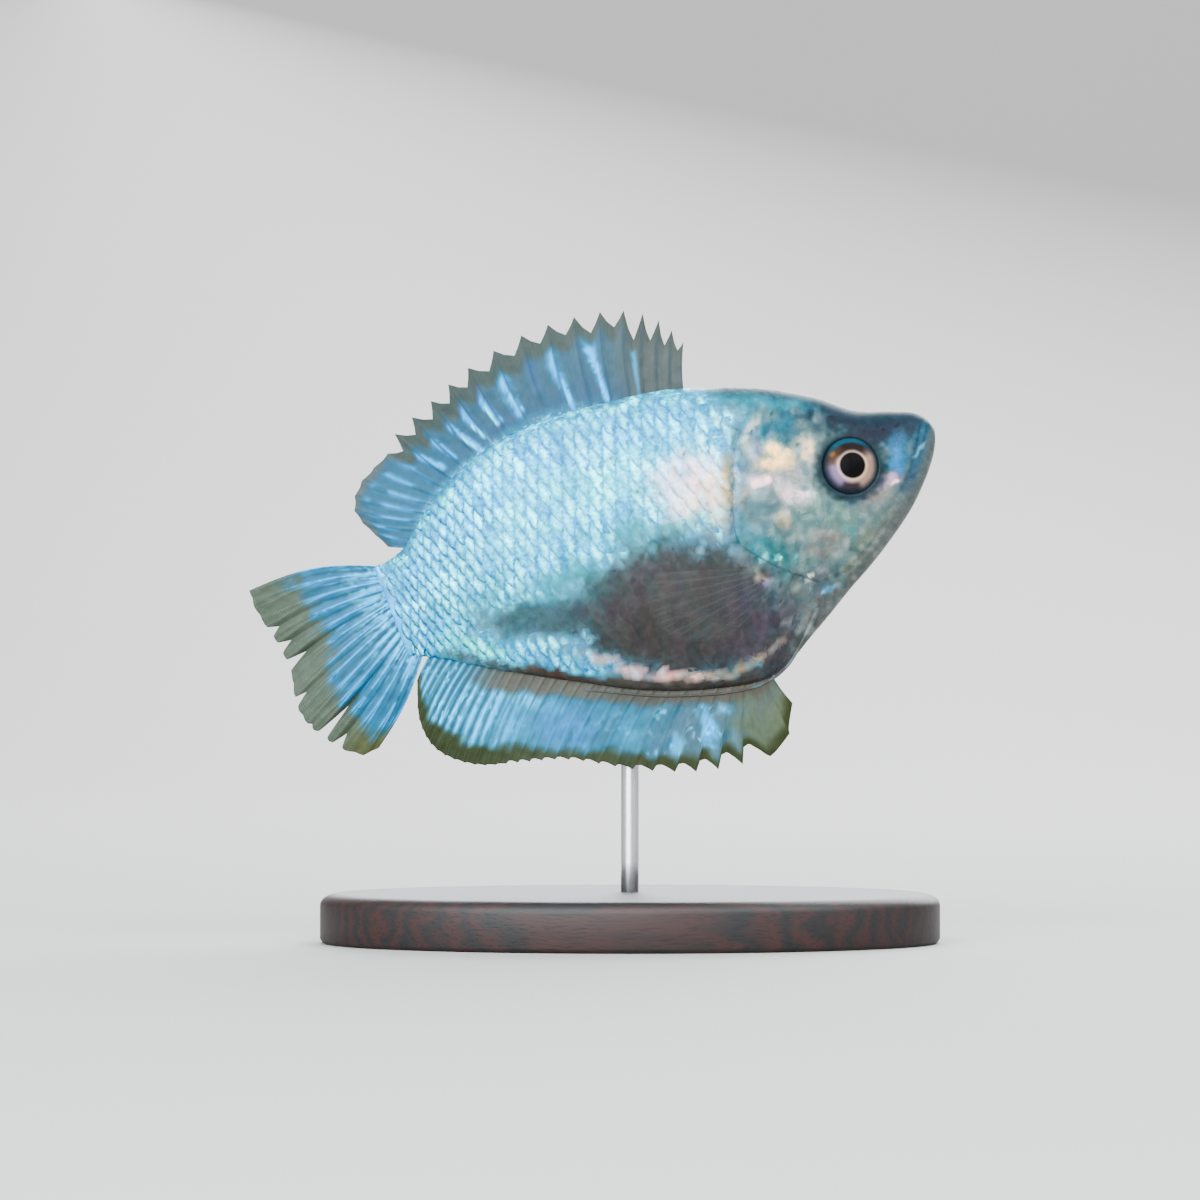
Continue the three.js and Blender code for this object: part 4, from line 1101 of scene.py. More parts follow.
@dataclass
class Skin:
    """One closed skin from the tail base to the snout, just inside the scales."""

    body: BodyShape
    head: HeadForms
    markings: Markings
    rows: int = 380
    around: int = 250
    scale_depth: float = 0.12  # mm that the skin lies inside the body's outline where it is scaled
    bare_depth: float = 0.03
    flank_step: float = 0.26  # mm between rows on the flank
    head_step: float = 0.09
    head_from: float = 32.5

    def row_parameters(self) -> Array:
        """Spreads the rows over t so that they lie closer on the head."""
        body = self.body
        ends = [self.head_from - 2.0, self.head_from + 1.0]
        step = interp(body.middle_x, ends, [self.flank_step, self.head_step])
        count = concatenate([[0.0], cumsum(diff(body.travel) / step[1:])])
        return interp(linspace(0.0, count[-1], self.rows), count, body.t)

    def grid(self) -> Array:
        """Works out the skin's points: the body's surface moved along its normal by the head's forms.

        Returns:
            The points in the fish's frame, shape (around, rows, 3).
        """
        t = self.row_parameters()[None, :]
        even = linspace(0.0, 2.0 * math.pi, self.around, endpoint=False)[:, None]
        # Angles bunch up towards mid-flank, where the eye and the mouth are
        angle = even - 0.24 * np.sin(2.0 * even)
        t, angle = broadcast_arrays(t, angle)
        points = self.body.point(t, angle)
        normals = self.body.normal(t, angle)
        x, z = points[..., 0], points[..., 2]
        bare = smooth(43.0, 46.0, x)
        depth = self.scale_depth + (self.bare_depth - self.scale_depth) * bare
        lift = where(x > 31.0, self.head.height(x, z), 0.0) - depth
        return points + lift[..., None] * normals

    def build(self) -> Object:
        """Makes the skin with its colours, and returns it."""
        points = self.grid()
        fish = concatenate([points.reshape(-1, 3), points[:, [0, -1]].mean(axis=0)])
        piece = new_piece("body_skin", to_display(fish), turned_faces(self.around, self.rows))
        face_out(piece)
        set_colours(piece, self.markings.colours(fish))
        nodes = ("head", "trunk", "tail_stalk", "gill_cover_left", "gill_cover_right")
        settle(piece, SilveredSkin().material(), "skin", *nodes)
        return piece


@dataclass
class ScaleCoat:
    """The overlapping scales of one side, each a thin domed plate rooted in the skin.

    Rows run from the gill cover to the tail at steps over the skin from mid-flank. Every other row is
    shifted by half a pitch, so that the scales tile like shingles. The gill cover, cheek and nape
    carry a finer lattice of flatter scales.
    """

    body: BodyShape
    head: HeadForms
    markings: Markings
    side: Side
    pitch: Pair = (0.84, 1.34)  # mm from scale to scale, at the tail and at the shoulder
    row_step: Pair = (1.16, 1.95)  # mm from row to row, likewise
    face_pitch: float = 0.8
    face_row: float = 1.0
    length: float = 2.1  # of a scale, in pitches
    half_width: float = 1.0  # in row steps
    skin_depth: float = 0.12
    root_sunk: float = 0.05
    rise: float = 0.09  # of the free edge over the skin
    across: int = 9
    along: int = 5
    seed: int = 17

    def lattice(self, pitch: Array, row_step: Array, x: Array) -> tuple[Array, Array]:
        """Spreads points along x at a pitch, in rows, every other one shifted by half a pitch.

        Args:
            pitch: mm from point to point, for each x.
            row_step: mm from row to row, for each x.
            x: rising places along the body, mm.

        Returns:
            The x and row number of the points on this side of the back and the belly.
        """
        count = concatenate([[0.0], cumsum(diff(x) / pitch[1:])])
        column, row = np.meshgrid(arange(0.0, count[-1]), arange(-30, 31))
        column = (column + 0.5 * (row % 2)).ravel()
        row = row.ravel().astype(float)
        root_x = interp(column, count, x)
        arc = row * interp(root_x, x, row_step)
        keep = (column < count[-1]) & (arc < self.body.girth(root_x, 1) + 0.2)
        keep &= arc > -self.body.girth(root_x, -1) - 0.1
        return root_x[keep], row[keep]

    def roots(self) -> Sheet:
        """Places every scale's root.

        Returns:
            Arrays by name: x, row, pitch, and face, True for the finer scales of the head.
        """
        x = linspace(-1.0, 50.0, 2000)
        flank_x, flank_row = self.lattice(self.pitch_at(x), self.row_at(x), x)
        face_x, face_row = self.lattice(full(x.shape, self.face_pitch), full(x.shape, self.face_row), x)
        flank = self.flank_wanted(flank_x, flank_row * self.row_at(flank_x))
        face = self.face_wanted(face_x, face_row * self.face_row)
        return {
            "x": concatenate([flank_x[flank], face_x[face]]),
            "row": concatenate([flank_row[flank], face_row[face]]),
            "pitch": concatenate([self.pitch_at(flank_x[flank]), full(face.sum(), self.face_pitch)]),
            "face": concatenate([zeros(flank.sum(), bool), np.ones(face.sum(), bool)]),
        }

    def pitch_at(self, x: Array) -> Array:
        """Returns the flank's pitch along the body at x, mm."""
        return interp(x, [3.0, 19.0], self.pitch)

    def row_at(self, x: Array) -> Array:
        """Returns the step between the flank's rows at x, mm."""
        return interp(x, [2.0, 22.0], self.row_step)

    def flank_wanted(self, x: Array, arc: Array) -> Array:
        """Says which roots carry a flank scale. The foremost ones come out from under the gill cover."""
        points, _, _ = self.body.on_flank(x, arc, self.side)
        return (self.head.before_gill(points[:, 0], points[:, 2]) < 1.3) & (x > 1.2)

    def face_wanted(self, x: Array, arc: Array) -> Array:
        """Says which roots carry a small scale: those clear of the gill cover's rim, eye and throat."""
        points, _, _ = self.body.on_flank(x, arc, self.side)
        px, pz = points[:, 0], points[:, 2]
        gap, _ = distance_to(px, pz, self.head.lines["throat_fold"])
        clear = (self.head.before_gill(px, pz) > 1.3) & (self.head.eye_distance(px, pz) > 4.6) & (gap > 0.8)
        return clear & (px < 47.0) & (self.body.height_over_belly(px, pz) > 2.0)

    def build(self) -> Object:
        """Makes all the scales of the side as one mesh.

        Over a scale, u runs 0 to 1 from root to free edge and w -1 to 1 across. A point lies behind the
        root by u times the edge's reach, 0.55 + 0.45 sqrt(1 - w^2) of the length, and stands off the skin
        in step with that, so that all slope alike and the one further forward lies on top.
        """
        rng = np.random.default_rng(self.seed + self.side.value)
        roots = self.roots()
        count = len(roots["x"])
        root_x, row, pitch, face = (roots[key][:, None, None] for key in ("x", "row", "pitch", "face"))
        u = linspace(0.0, 1.0, self.along)[None, :, None]
        turn = linspace(-0.5 * math.pi, 0.5 * math.pi, self.across)[None, None, :]
        w = np.sin(turn)
        jitter = rng.uniform(-1.0, 1.0, (count, 5))[:, :, None, None]
        edge = 0.55 + 0.45 * np.cos(turn)
        x = root_x - u * edge * self.length * pitch * (1.0 + 0.05 * jitter[:, 0]) + 0.04 * jitter[:, 1]
        wide = w * self.half_width * (0.82 + 0.18 * np.sin(np.pi * minimum(u * 1.2, 1.0) / 2.0))
        arc = (row + wide + 0.03 * jitter[:, 2]) * where(face, self.face_row, self.row_at(x))
        points, normals, unwrap = self.body.on_flank(x, arc, self.side)
        forms = where(face, self.head.height(points[..., 0], points[..., 2]), 0.0)
        seat = self.markings.colours(points[:, 0, self.across // 2]).mean(axis=1)[:, None, None]
        steep = interp(root_x, [7.0, 16.0], [1.0, 0.6])
        low = where(face, 0.16, (0.2 + 0.7 * smooth(0.02, 0.14, seat)) * steep)
        tilt = 1.0 + 0.08 * jitter[:, 3] + 0.06 * jitter[:, 4] * w
        height = self.rise * u * edge * tilt - self.root_sunk * (1.0 - u * edge) ** 2
        lift = forms - self.skin_depth + height * low
        fish = (points + lift[..., None] * normals).reshape(-1, 3)
        piece = new_piece(f"scales_{self.side.name.lower()}", to_display(fish), self.faces(count))
        self.crease_rims(piece)
        self.colour(piece, fish, roots["face"], rng)
        own = stack(broadcast_arrays(0.5 + 0.5 * w, u), -1)
        from_edge = stack(broadcast_arrays(0.5 + 0.5 * w, (1.0 - u) * edge * self.length), -1)
        set_map(piece, np.broadcast_to(from_edge, points.shape[:-1] + (2,)).reshape(-1, 2), "scale")
        middle = self.across // 2
        patch = unwrap[:, :1, middle : middle + 1, :] + 0.003 * (own - 0.5)
        set_map(piece, patch.reshape(-1, 2), "OFBake")
        settle(piece, PearlScale().material(), "skin")
        return piece

    def rim(self) -> Array:
        """Returns the corner numbers round one scale."""
        across, along = self.across, self.along
        return concatenate([
            arange(across), arange(2, along + 1) * across - 1,
            (along - 1) * across + arange(across - 2, -1, -1), arange(along - 2, 0, -1) * across,
        ])

    def faces(self, count: int) -> list[Array]:
        """Returns each scale's top quads and the one many-sided face that closes it below."""
        starts = (arange(count) * self.along * self.across)[:, None, None]
        top, under = grid_faces(self.along, self.across), self.rim()
        if self.side is Side.RIGHT:
            top, under = top[:, ::-1], under[::-1]
        return [(starts + top[None]).reshape(-1, 4), (starts[:, 0] + under[None, :])]

    def crease_rims(self, piece: Object) -> None:
        """Marks the rims sharp, so that a scale's top and underside don't shade into each other."""
        ends = zeros(2 * len(piece.data.edges), np.int32)
        piece.data.edges.foreach_get("vertices", ends)
        order = full(self.along * self.across, -1000)
        order[self.rim()] = arange(len(self.rim()))
        step = np.abs(diff(order[ends.reshape(-1, 2) % len(order)], axis=1))[:, 0]
        piece.data.edges.foreach_set("use_edge_sharp", (step == 1) | (step == len(self.rim()) - 1))
        piece.data.update()

    def colour(self, piece: Object, fish: Array, face: Array, rng: np.random.Generator) -> None:
        """Colours the scales: the skin's markings, a little lighter or darker from scale to scale.

        Args:
            piece: the scales.
            fish: their points in the fish's frame, mm.
            face: True for each small scale of the head.
            rng: the source of the chances.
        """
        count = len(face)
        vary = where(face, 0.35, 1.0)[:, None, None]
        per_scale = 1.0 + 0.12 * vary * rng.uniform(-1.0, 1.0, (count, 1, 3)) * array([1.0, 0.6, 0.3])
        per_scale = per_scale + 0.1 * vary * rng.uniform(-1.0, 1.0, (count, 1, 1))
        colours = self.markings.colours(fish).reshape(count, -1, 3) * per_scale
        set_colours(piece, colours.reshape(-1, 3))
        pink = smooth(0.3, 0.8, colours[..., 0] / colours[..., 2])
        # The small scales of the nape fade from the flank's look into the head's
        nape = drop(2.0, 5.0, self.body.depth_below_back(fish[:, 0], fish[:, 2]))
        nape = (nape * drop(35.0, 43.0, fish[:, 0])).reshape(count, -1)
        pale = smooth(0.06, 0.3, colours.mean(axis=2)) * where(face[:, None], 0.2 + 0.8 * nape, 1.0)
        bright = pale * (1.0 - 0.7 * pink)
        # The weight of the painted shadow along each scale's free edge: strongest towards the tail, and on
        # the pink patch
        rear = interp(fish[:, 0].reshape(bright.shape), [3.0, 9.0, 14.0, 20.0], [1.0, 0.85, 0.3, 0.12])
        edge_shadow = pale * maximum(rear, 0.6 * pink)
        set_value(piece, bright.ravel(), "bright")
        set_value(piece, edge_shadow.ravel(), "contrast")
        # A random strength for each scale's painted reflection
        set_value(piece, np.repeat(rng.uniform(0.22, 1.0, count), bright.shape[1]), "spark")


# Fins


@dataclass(frozen=True)
class Streak:
    """A bright streak on a fin, from its outer end to its inner one, in the display's frame in mm."""

    x: float
    z: float
    to_x: float
    to_z: float
    wide: float
    to_wide: float
    colour: str
    strength: float = 0.9


def lay_streaks(colour: Array, streaks: tuple, display: Array, grain: Array) -> Array:
    """Lays streaks over seen colours, with edges that a grain from 0 to 1 roughens."""
    for streak in streaks:
        line = array([(streak.x, streak.z), (streak.to_x, streak.to_z)])
        gap, share = distance_to(display[..., 0], display[..., 2], line)
        wide = streak.wide + (streak.to_wide - streak.wide) * share
        weight = streak.strength * drop(0.2, 1.4, gap / wide + 1.4 * (grain - 0.5))
        colour = blend(colour, srgb(streak.colour), weight)
    return colour


@dataclass
class Rays:
    """The rays of a fin: where each starts and ends in the fish's frame, its bow, tear and ridge."""

    root: Array  # (n, 3) mm
    tip: Array  # (n, 3) mm
    notch: Array  # how deep the web behind each ray is cut, mm
    ridge: Array  # thickness that the ray adds at its root, mm
    bow: Array  # sideways bend, a share of the length

    def at(self, number: Array, share: Array) -> Array:
        """Places points on whole rays: root + run share + side bow sin(pi share)."""
        run = self.tip[number] - self.root[number]
        side = stack([-run[..., 2], zeros(run.shape[:-1]), run[..., 0]], -1)
        bend = (self.bow[number] * np.sin(math.pi * share))[..., None]
        return self.root[number] + run * share[..., None] + side * bend


@dataclass
class Fin:
    """A fin as one thin closed membrane with its rays raised on both faces.

    The surface is a function of x, which counts the rays, and v, 0 at the root and 1 at the edge.
    Between two rays a point lies on the straight line joining them, and the web's edge is pulled back
    by the notch times the web's profile.
    """

    name: str
    rays: Rays
    profile: tuple  # (share of the way to the next ray, share of the notch)
    outward: Array
    sway: tuple  # amplitude and turns of the wave, its phase, and the lean and sweep
    columns: int = 10  # in each web
    rows: int = 44
    thickness: float = 0.12
    fork_at: Pair = (1.0, 1.0)
    ray_width: float = 0.11  # mm
    soft_from: int = 0

    def surface(self) -> Sheet:
        """Works out the fin's middle sheet.

        Returns:
            Arrays by name: points (columns, rows, 3), x, v, the distance to the edge and from ray to ray in
            mm, the share along the fin and w, the share of the way to the next ray.
        """
        count = len(self.rays.root)
        x = linspace(0.0, count - 1.0, (count - 1) * self.columns + 1)[:, None]
        # Rows lie closer towards the edge, where the tears are
        v = (1.0 - (1.0 - linspace(0.0, 1.0, self.rows)) ** 1.25)[None, :]
        x, v = broadcast_arrays(x, v)
        k = minimum(x.astype(int), count - 2)
        w = x - k
        ends = [(0.0, 0.0), *self.profile, (1.0, 0.0)]
        pull = interp(w, [p[0] for p in ends], [p[1] for p in ends]) * self.rays.notch[k]
        length = norm(self.rays.tip - self.rays.root, axis=1)
        here = length[k]
        reach = v * (1.0 - pull / here)
        start, end = self.rays.at(k, reach), self.rays.at(k + 1, reach)
        points = start + (end - start) * w[..., None]
        along = x / (count - 1.0)
        size, turns, phase, lean, sweep = self.sway
        bend = size * np.sin(along * turns + phase) * v**2 + lean * along**2 * v + sweep * v**2
        points = points + self.outward * bend[..., None]
        gap = norm(end - start, axis=-1)
        edge = (1.0 - v) * here
        return {"points": points, "x": x, "v": v, "edge": edge, "gap": gap, "along": along, "w": w}

    def ray_mask(self, sheet: Sheet) -> Array:
        """Returns 1 on a ray or its branches and 0 between them.

        A soft ray splits in two at fork_at[0] and again at fork_at[1], and its branches draw apart.
        """
        w, v, gap = sheet["w"], sheet["v"], maximum(sheet["gap"], 0.05)
        near = minimum(w, 1.0 - w)
        first = 0.24 * smooth(self.fork_at[0], 1.15, v)
        second = 0.11 * smooth(self.fork_at[1], 1.2, v)
        soft = sheet["x"] >= self.soft_from - 0.5
        first, second = where(soft, first, 0.0), where(soft, second, 0.0)
        width = self.ray_width * (1.0 - 0.45 * v) / gap
        mask = np.zeros_like(w)
        for twig in (-1.0, 1.0):
            mask = maximum(mask, bell(near - first - twig * second, width))
        return mask

    def build(
        self, paint_with: Callable[[Sheet, Array], Array], finish: FinMembrane, slot: str, *nodes: str,
    ) -> Object:
        """Makes the fin.

        Args:
            paint_with: a function from the sheet's arrays and the ray mask to pigments.
            finish: the membrane's finish.
            slot: passed on to settle, which does not use it.
            nodes: the CAD nodes that it stands for.

        Returns:
            The finished object.
        """
        sheet = self.surface()
        mask = self.ray_mask(sheet)
        ridge = self.rays.ridge[np.round(sheet["x"]).astype(int)] * (1.0 - 0.7 * sheet["v"])
        crinkle = cloud(sheet["points"], 0.9, 21) * 0.1
        half = 0.5 * (self.thickness * (1.0 - 0.45 * sheet["v"]) + mask * ridge)
        middle = sheet["points"] + self.outward * crinkle[..., None]
        faces = [middle + self.outward * half[..., None], middle - self.outward * half[..., None]]
        fish = concatenate([f.reshape(-1, 3) for f in faces])
        columns, rows = sheet["x"].shape
        piece = new_piece(self.name, to_display(fish), sheet_faces(columns, rows))
        face_out(piece)
        colours = paint_with(sheet, mask).reshape(-1, 3)
        set_colours(piece, concatenate([colours, colours]))
        set_value(piece, np.tile(mask.ravel(), 2), "ray")
        own = stack([sheet["x"], sheet["v"]], -1).reshape(-1, 2)
        set_map(piece, concatenate([own, own]), "rays")
        settle(piece, finish.material(), slot, *nodes)
        return piece


def drawn_out(x: Array, v: Array, across: float, along: float, seed: int) -> Array:
    """Returns noise drawn out along the rays: `across` lumps in each web and `along` in a ray's length."""
    return cloud(stack([x * across, v * along, np.zeros_like(x)], -1), 1.0, seed)


def guided_rays(guides: tuple, body: BodyShape, sign: int, sunk: float) -> tuple[Array, Array]:
    """Works out every ray from a few guides.

    A root lies between its guides' in a straight line, and a tip on the cubic curve through them.

    Args:
        guides: rows of ray number, root x, tip x and tip z, mm.
        body: the body that carries the fin.
        sign: 1 for the back and -1 for the belly.
        sunk: how far inside the body the rays start, mm.

    Returns:
        The roots and tips, each (n, 3).
    """
    g = array(guides, float)
    number = arange(int(g[-1, 0]) + 1)
    k = clip(np.searchsorted(g[:, 0], number, side="right") - 1, 0, len(g) - 2)
    a, b = g[k], g[k + 1]
    before, after = g[maximum(k - 1, 0)], g[minimum(k + 2, len(g) - 1)]
    span = (b[:, 0] - a[:, 0])[:, None]
    q = ((number - a[:, 0]) / span[:, 0])[:, None]
    slope_a = (b[:, 2:] - before[:, 2:]) / (b[:, 0] - before[:, 0])[:, None]
    slope_b = (after[:, 2:] - a[:, 2:]) / (after[:, 0] - a[:, 0])[:, None]
    c1, c2 = a[:, 2:] + slope_a * span / 3.0, b[:, 2:] - slope_b * span / 3.0
    tip = (1 - q) ** 3 * a[:, 2:] + 3 * q * (1 - q) ** 2 * c1 + 3 * q**2 * (1 - q) * c2 + q**3 * b[:, 2:]
    root_x = a[:, 1] + (b[:, 1] - a[:, 1]) * q[:, 0]
    root = body.outline(root_x, sign, -sunk)
    flat = zeros(len(number))
    return stack([root[:, 0], flat, root[:, 1]], -1), stack([tip[:, 0], flat, tip[:, 1]], -1)


@dataclass
class LongFin:
    """What the long fins of the back and the belly share: spines in front, then soft rays."""

    body: BodyShape
    name: str = ""
    membrane: str = ""
    sign: int = 1  # 1 on the back and -1 on the belly
    spines: int = 0
    spine_ridge: float = 0.3
    ray_ridge: float = 0.2
    profile: tuple = ()
    notches: tuple = ()  # behind the spines from the front, mm. The last one holds for the rest
    soft_notch: float = 0.1
    bow: float = 0.03
    sway: tuple = ()
    guides: tuple = ()
    sunk: float = 0.8  # mm from the outline in to the rays' roots

    def build(self) -> Object:
        """Makes the fin: rays from their guides, each with its notch and ridge, and the web on them."""
        root, tip = guided_rays(self.guides, self.body, self.sign, self.sunk)
        number = arange(len(root))
        spine = number < self.spines
        notch = array(self.notches)[minimum(number, len(self.notches) - 1)]
        rays = Rays(root, tip, where(spine, notch, self.soft_notch),
                    where(spine, self.spine_ridge, self.ray_ridge), full(len(root), self.bow))
        fin = Fin(f"{self.name}_web", rays, self.profile, array([0.0, 1.0, 0.0]), self.sway,
                  fork_at=(0.5, 0.9), soft_from=self.spines)
        return fin.build(self.paint, FinMembrane(self.membrane), "fin", self.name)


@dataclass
class DorsalFin(LongFin):
    """The long fin of the back: fifteen pointed spines, then eight soft rays."""

    name: str = "dorsal_fin"
    membrane: str = "spined_fin_membrane"
    spines: int = 15
    profile: tuple = ((0.16, 0.5), (0.4, 1.0), (0.72, 0.6))
    notches: tuple = (1.2, 1.8, 2.2, 2.7, 1.6, 1.9, 1.5)
    soft_notch: float = 0.12
    sway: tuple = (0.55, 9.0, 0.0, 0.5, 0.0)
    guides: tuple = (
        (0, 34.4, 35.9, 16.0), (2, 31.7, 34.3, 18.9), (4, 28.9, 31.3, 21.0), (6, 25.2, 26.4, 22.0),
        (8, 20.8, 20.8, 22.0), (10, 16.6, 14.7, 20.7), (12, 12.8, 10.1, 18.8), (14, 9.6, 5.6, 16.9),
        (15, 8.6, 4.3, 15.3), (17, 6.9, 0.9, 13.6), (19, 5.3, -0.8, 11.0), (22, 3.1, 1.2, 6.5),
    )
    streaks: tuple = tuple(Streak(*row) for row in (
        (-4.25, 60.2, -2.2, 54.2, 0.8, 0.28, "#5cbcf2"), (-8.45, 59.5, -5.6, 53.4, 0.75, 0.35, "#5ebcf0"),
        (0.3, 59.0, 0.9, 55.0, 0.3, 0.22, "#70bcda"), (-13.4, 56.9, -11.0, 53.0, 0.9, 0.6, "#62bef0"),
        (-10.1, 57.9, -9.3, 55.6, 0.6, 0.5, "#7498cc", 0.5),
        (-16.0, 55.3, -13.0, 52.2, 0.65, 0.4, "#72aaee"), (-17.9, 54.0, -14.4, 50.6, 0.5, 0.35, "#72b0ee"),
        (-19.2, 52.3, -14.6, 49.3, 0.5, 0.3, "#72b2ee"), (-20.6, 50.7, -17.6, 48.6, 0.5, 0.35, "#70b4ec"),
        (-23.1, 49.5, -18.8, 47.6, 0.34, 0.4, "#6ab8ee"),
        (-24.0, 48.5, -21.6, 47.4, 0.28, 0.3, "#6cb0dc", 0.7),
        (-14.6, 53.6, -13.2, 51.9, 0.12, 0.2, "#d2f4fc"), (-16.0, 51.8, -13.9, 50.2, 0.14, 0.22, "#d0f2fc"),
        (-17.4, 50.9, -14.8, 49.1, 0.12, 0.2, "#c6eefa"), (-12.3, 55.0, -10.8, 53.2, 0.2, 0.25, "#b4e6fa"),
        (-6.8, 56.0, -5.7, 53.8, 0.2, 0.25, "#a2daf6", 0.8),
        (-2.9, 56.0, -2.3, 54.4, 0.2, 0.2, "#a8def6", 0.8),
    ))

    def paint(self, sheet: Sheet, mask: Array) -> Array:
        """Colours the fin: grey-blue web, blue streaks, olive-grey edge, brownish front."""
        x, v, w, edge = (sheet[key] for key in ("x", "v", "w", "edge"))
        lumps, fine = cloud(sheet["points"], 1.1, 31), cloud(sheet["points"], 0.3, 32)
        drawn = drawn_out(x, v, 4.0, 5.0, 33)
        spiny = drop(14.6, 15.4, x)
        colour = layered(
            srgb("#6c91a2"), ("#7e8482", 0.9 * drop(3.0, 5.6, x)),
            ("#6488a4", 0.7 * drop(0.2, 0.5, v) * smooth(3.0, 6.0, x)),
            ("#6393ae", 0.8 * smooth(9.0, 15.0, x)))
        colour = lay_streaks(colour, self.streaks, to_display(sheet["points"]) / MM, 0.6 * fine + 0.4 * drawn)
        soft = bell(minimum(w, 1.0 - w), 0.24) * (1.0 - spiny) * smooth(0.15, 0.3, v)
        soft = soft * smooth(0.25, 0.6, drawn)
        colour = layered(colour, ("#66b8e6", 0.9 * soft * smooth(0.5, 1.5, edge)))
        limit = 1.2 + 0.9 * smooth(2.0, 8.0, x) - 1.5 * (1.0 - spiny)
        margin = layered(srgb("#747f79"), ("#879291", 1.0 - spiny))
        colour = blend(colour, margin, 0.92 * drop(-0.7, 0.7, edge - limit + 1.2 * (lumps - 0.5)))
        base = drop(0.08, 0.24, v + 0.2 * (fine - 0.5))
        colour = layered(
            colour, ("#50687a", 0.35 * mask * spiny * smooth(0.6, 2.2, edge)),
            ("#74bcd8", 0.6 * base * smooth(4.0, 8.0, x)),
            ("#c8f2fa", 0.95 * base * smooth(0.5, 0.68, fine) * smooth(4.0, 8.0, x)))
        return pigment(colour) * (0.7 + 0.2 * fine[..., None])


@dataclass
class AnalFin(LongFin):
    """The long fin under the belly: a short spiny lobe in front, then close-set rays."""

    name: str = "anal_fin"
    membrane: str = "anal_fin_membrane"
    sign: int = -1
    spines: int = 17
    spine_ridge: float = 0.26
    ray_ridge: float = 0.18
    profile: tuple = ((0.28, 0.5), (0.66, 1.0), (0.9, 0.9))
    notches: tuple = (0.15, -0.3, 1.7, 1.5, 1.2, 0.9, 0.7, 0.5, 0.3)
    bow: float = -0.03
    sway: tuple = (0.4, 10.0, 1.0, 0.6, 0.0)
    guides: tuple = (
        (0, 33.2, 34.2, -21.7), (1, 32.4, 32.9, -24.5), (2, 31.4, 30.1, -25.8), (4, 29.2, 25.0, -25.5),
        (6, 26.4, 20.8, -24.3), (8, 23.2, 16.9, -22.6), (12, 17.4, 11.2, -19.6), (16, 12.8, 6.3, -18.2),
        (20, 9.0, 2.2, -17.0), (24, 6.1, -0.9, -14.4), (28, 3.6, -1.6, -10.9), (31, 1.6, -0.5, -7.1),
    )
    sparkles: tuple = tuple(Mark(*row) for row in (
        (7.8, 21.6, 0.9, 3.0, 12, "#8fd0f0", 0.8, 0.6), (4.6, 19.8, 0.9, 1.4, 0, "#94d4f0", 0.75, 0.6),
        (9.7, 23.6, 0.9, 0.8, 30, "#a4dcf4", 0.8), (10.6, 20.6, 0.5, 1.2, 10, "#88c0e8", 0.7, 0.6),
        (12.8, 25.2, 1.1, 0.9, 40, "#8cb8d8", 0.7, 0.6), (0.2, 20.6, 1.4, 1.6, 0, "#7cbcd8", 0.6, 0.8),
        (-14.0, 22.5, 4.4, 3.0, -20, "#86cdea", 0.7, 0.8), (-6.5, 21.8, 3.4, 2.6, 0, "#5f9fd2", 0.7, 0.8),
        (-11.0, 24.6, 5.0, 1.2, -14, "#a2dff2", 0.7, 0.8), (1.6, 24.6, 0.4, 0.4, 0, "#9cdcf4", 0.8),
    ))

    def paint(self, sheet: Sheet, mask: Array) -> Array:
        """Colours the fin: sky blue with dark striae, an olive edge and a clear green front lobe."""
        x, v, w, edge = (sheet[key] for key in ("x", "v", "w", "edge"))
        lumps, fine = cloud(sheet["points"], 1.2, 41), cloud(sheet["points"], 0.28, 42)
        colour = layered(srgb("#649fbc"), ("#7c9ba6", smooth(10.0, 5.0, x)))
        flat = (to_display(sheet["points"]) / MM).reshape(-1, 3)
        colour = lay_marks(colour.reshape(-1, 3), self.sparkles, flat, flat).reshape(colour.shape)
        rear = smooth(15.0, 22.0, x)
        near = minimum(w, 1.0 - w)
        light = bell(near, 0.22) * rear * smooth(0.15, 0.5, lumps + 0.4 * fine)
        lines = 0.45 * smooth(0.55, 0.85, drawn_out(x, v, 3.6, 5.0, 43))
        dark = maximum(0.75 * bell(near - 0.5, 0.16) * rear, lines)
        spark = smooth(0.62, 0.86, drawn_out(x, v, 5.0, 22.0, 44)) * smooth(0.35, 0.65, lumps)
        rim = interp(x, [2.0, 8.0, 14.0, 18.0, 24.0, 29.0], [0.9, 1.3, 0.9, 1.9, 2.1, 1.2])
        root = drop(0.2, 0.32, v + 0.1 * (lumps - 0.5))
        colour = layered(
            colour, ("#a8e6f8", 0.8 * light), ("#3f7894", dark * smooth(0.1, 0.4, lumps + 0.2)),
            ("#b4ecfa", 0.75 * spark * (0.35 + 0.65 * maximum(rear, smooth(10.0, 6.0, x)))),
            ("#88907a", 0.92 * drop(1.8, 4.2, x + 1.6 * (lumps - 0.5))),
            ("#84908e", 0.7 * (drop(1.6, 3.2, x) * drop(0.35, 0.7, v))),
            ("#565d40", 0.95 * drop(-0.6, 0.6, edge - rim + 1.2 * (lumps - 0.5))),
            ("#888378", 0.9 * root * drop(20.0, 27.0, x)))
        return pigment(colour) * (0.75 + 0.26 * fine[..., None])


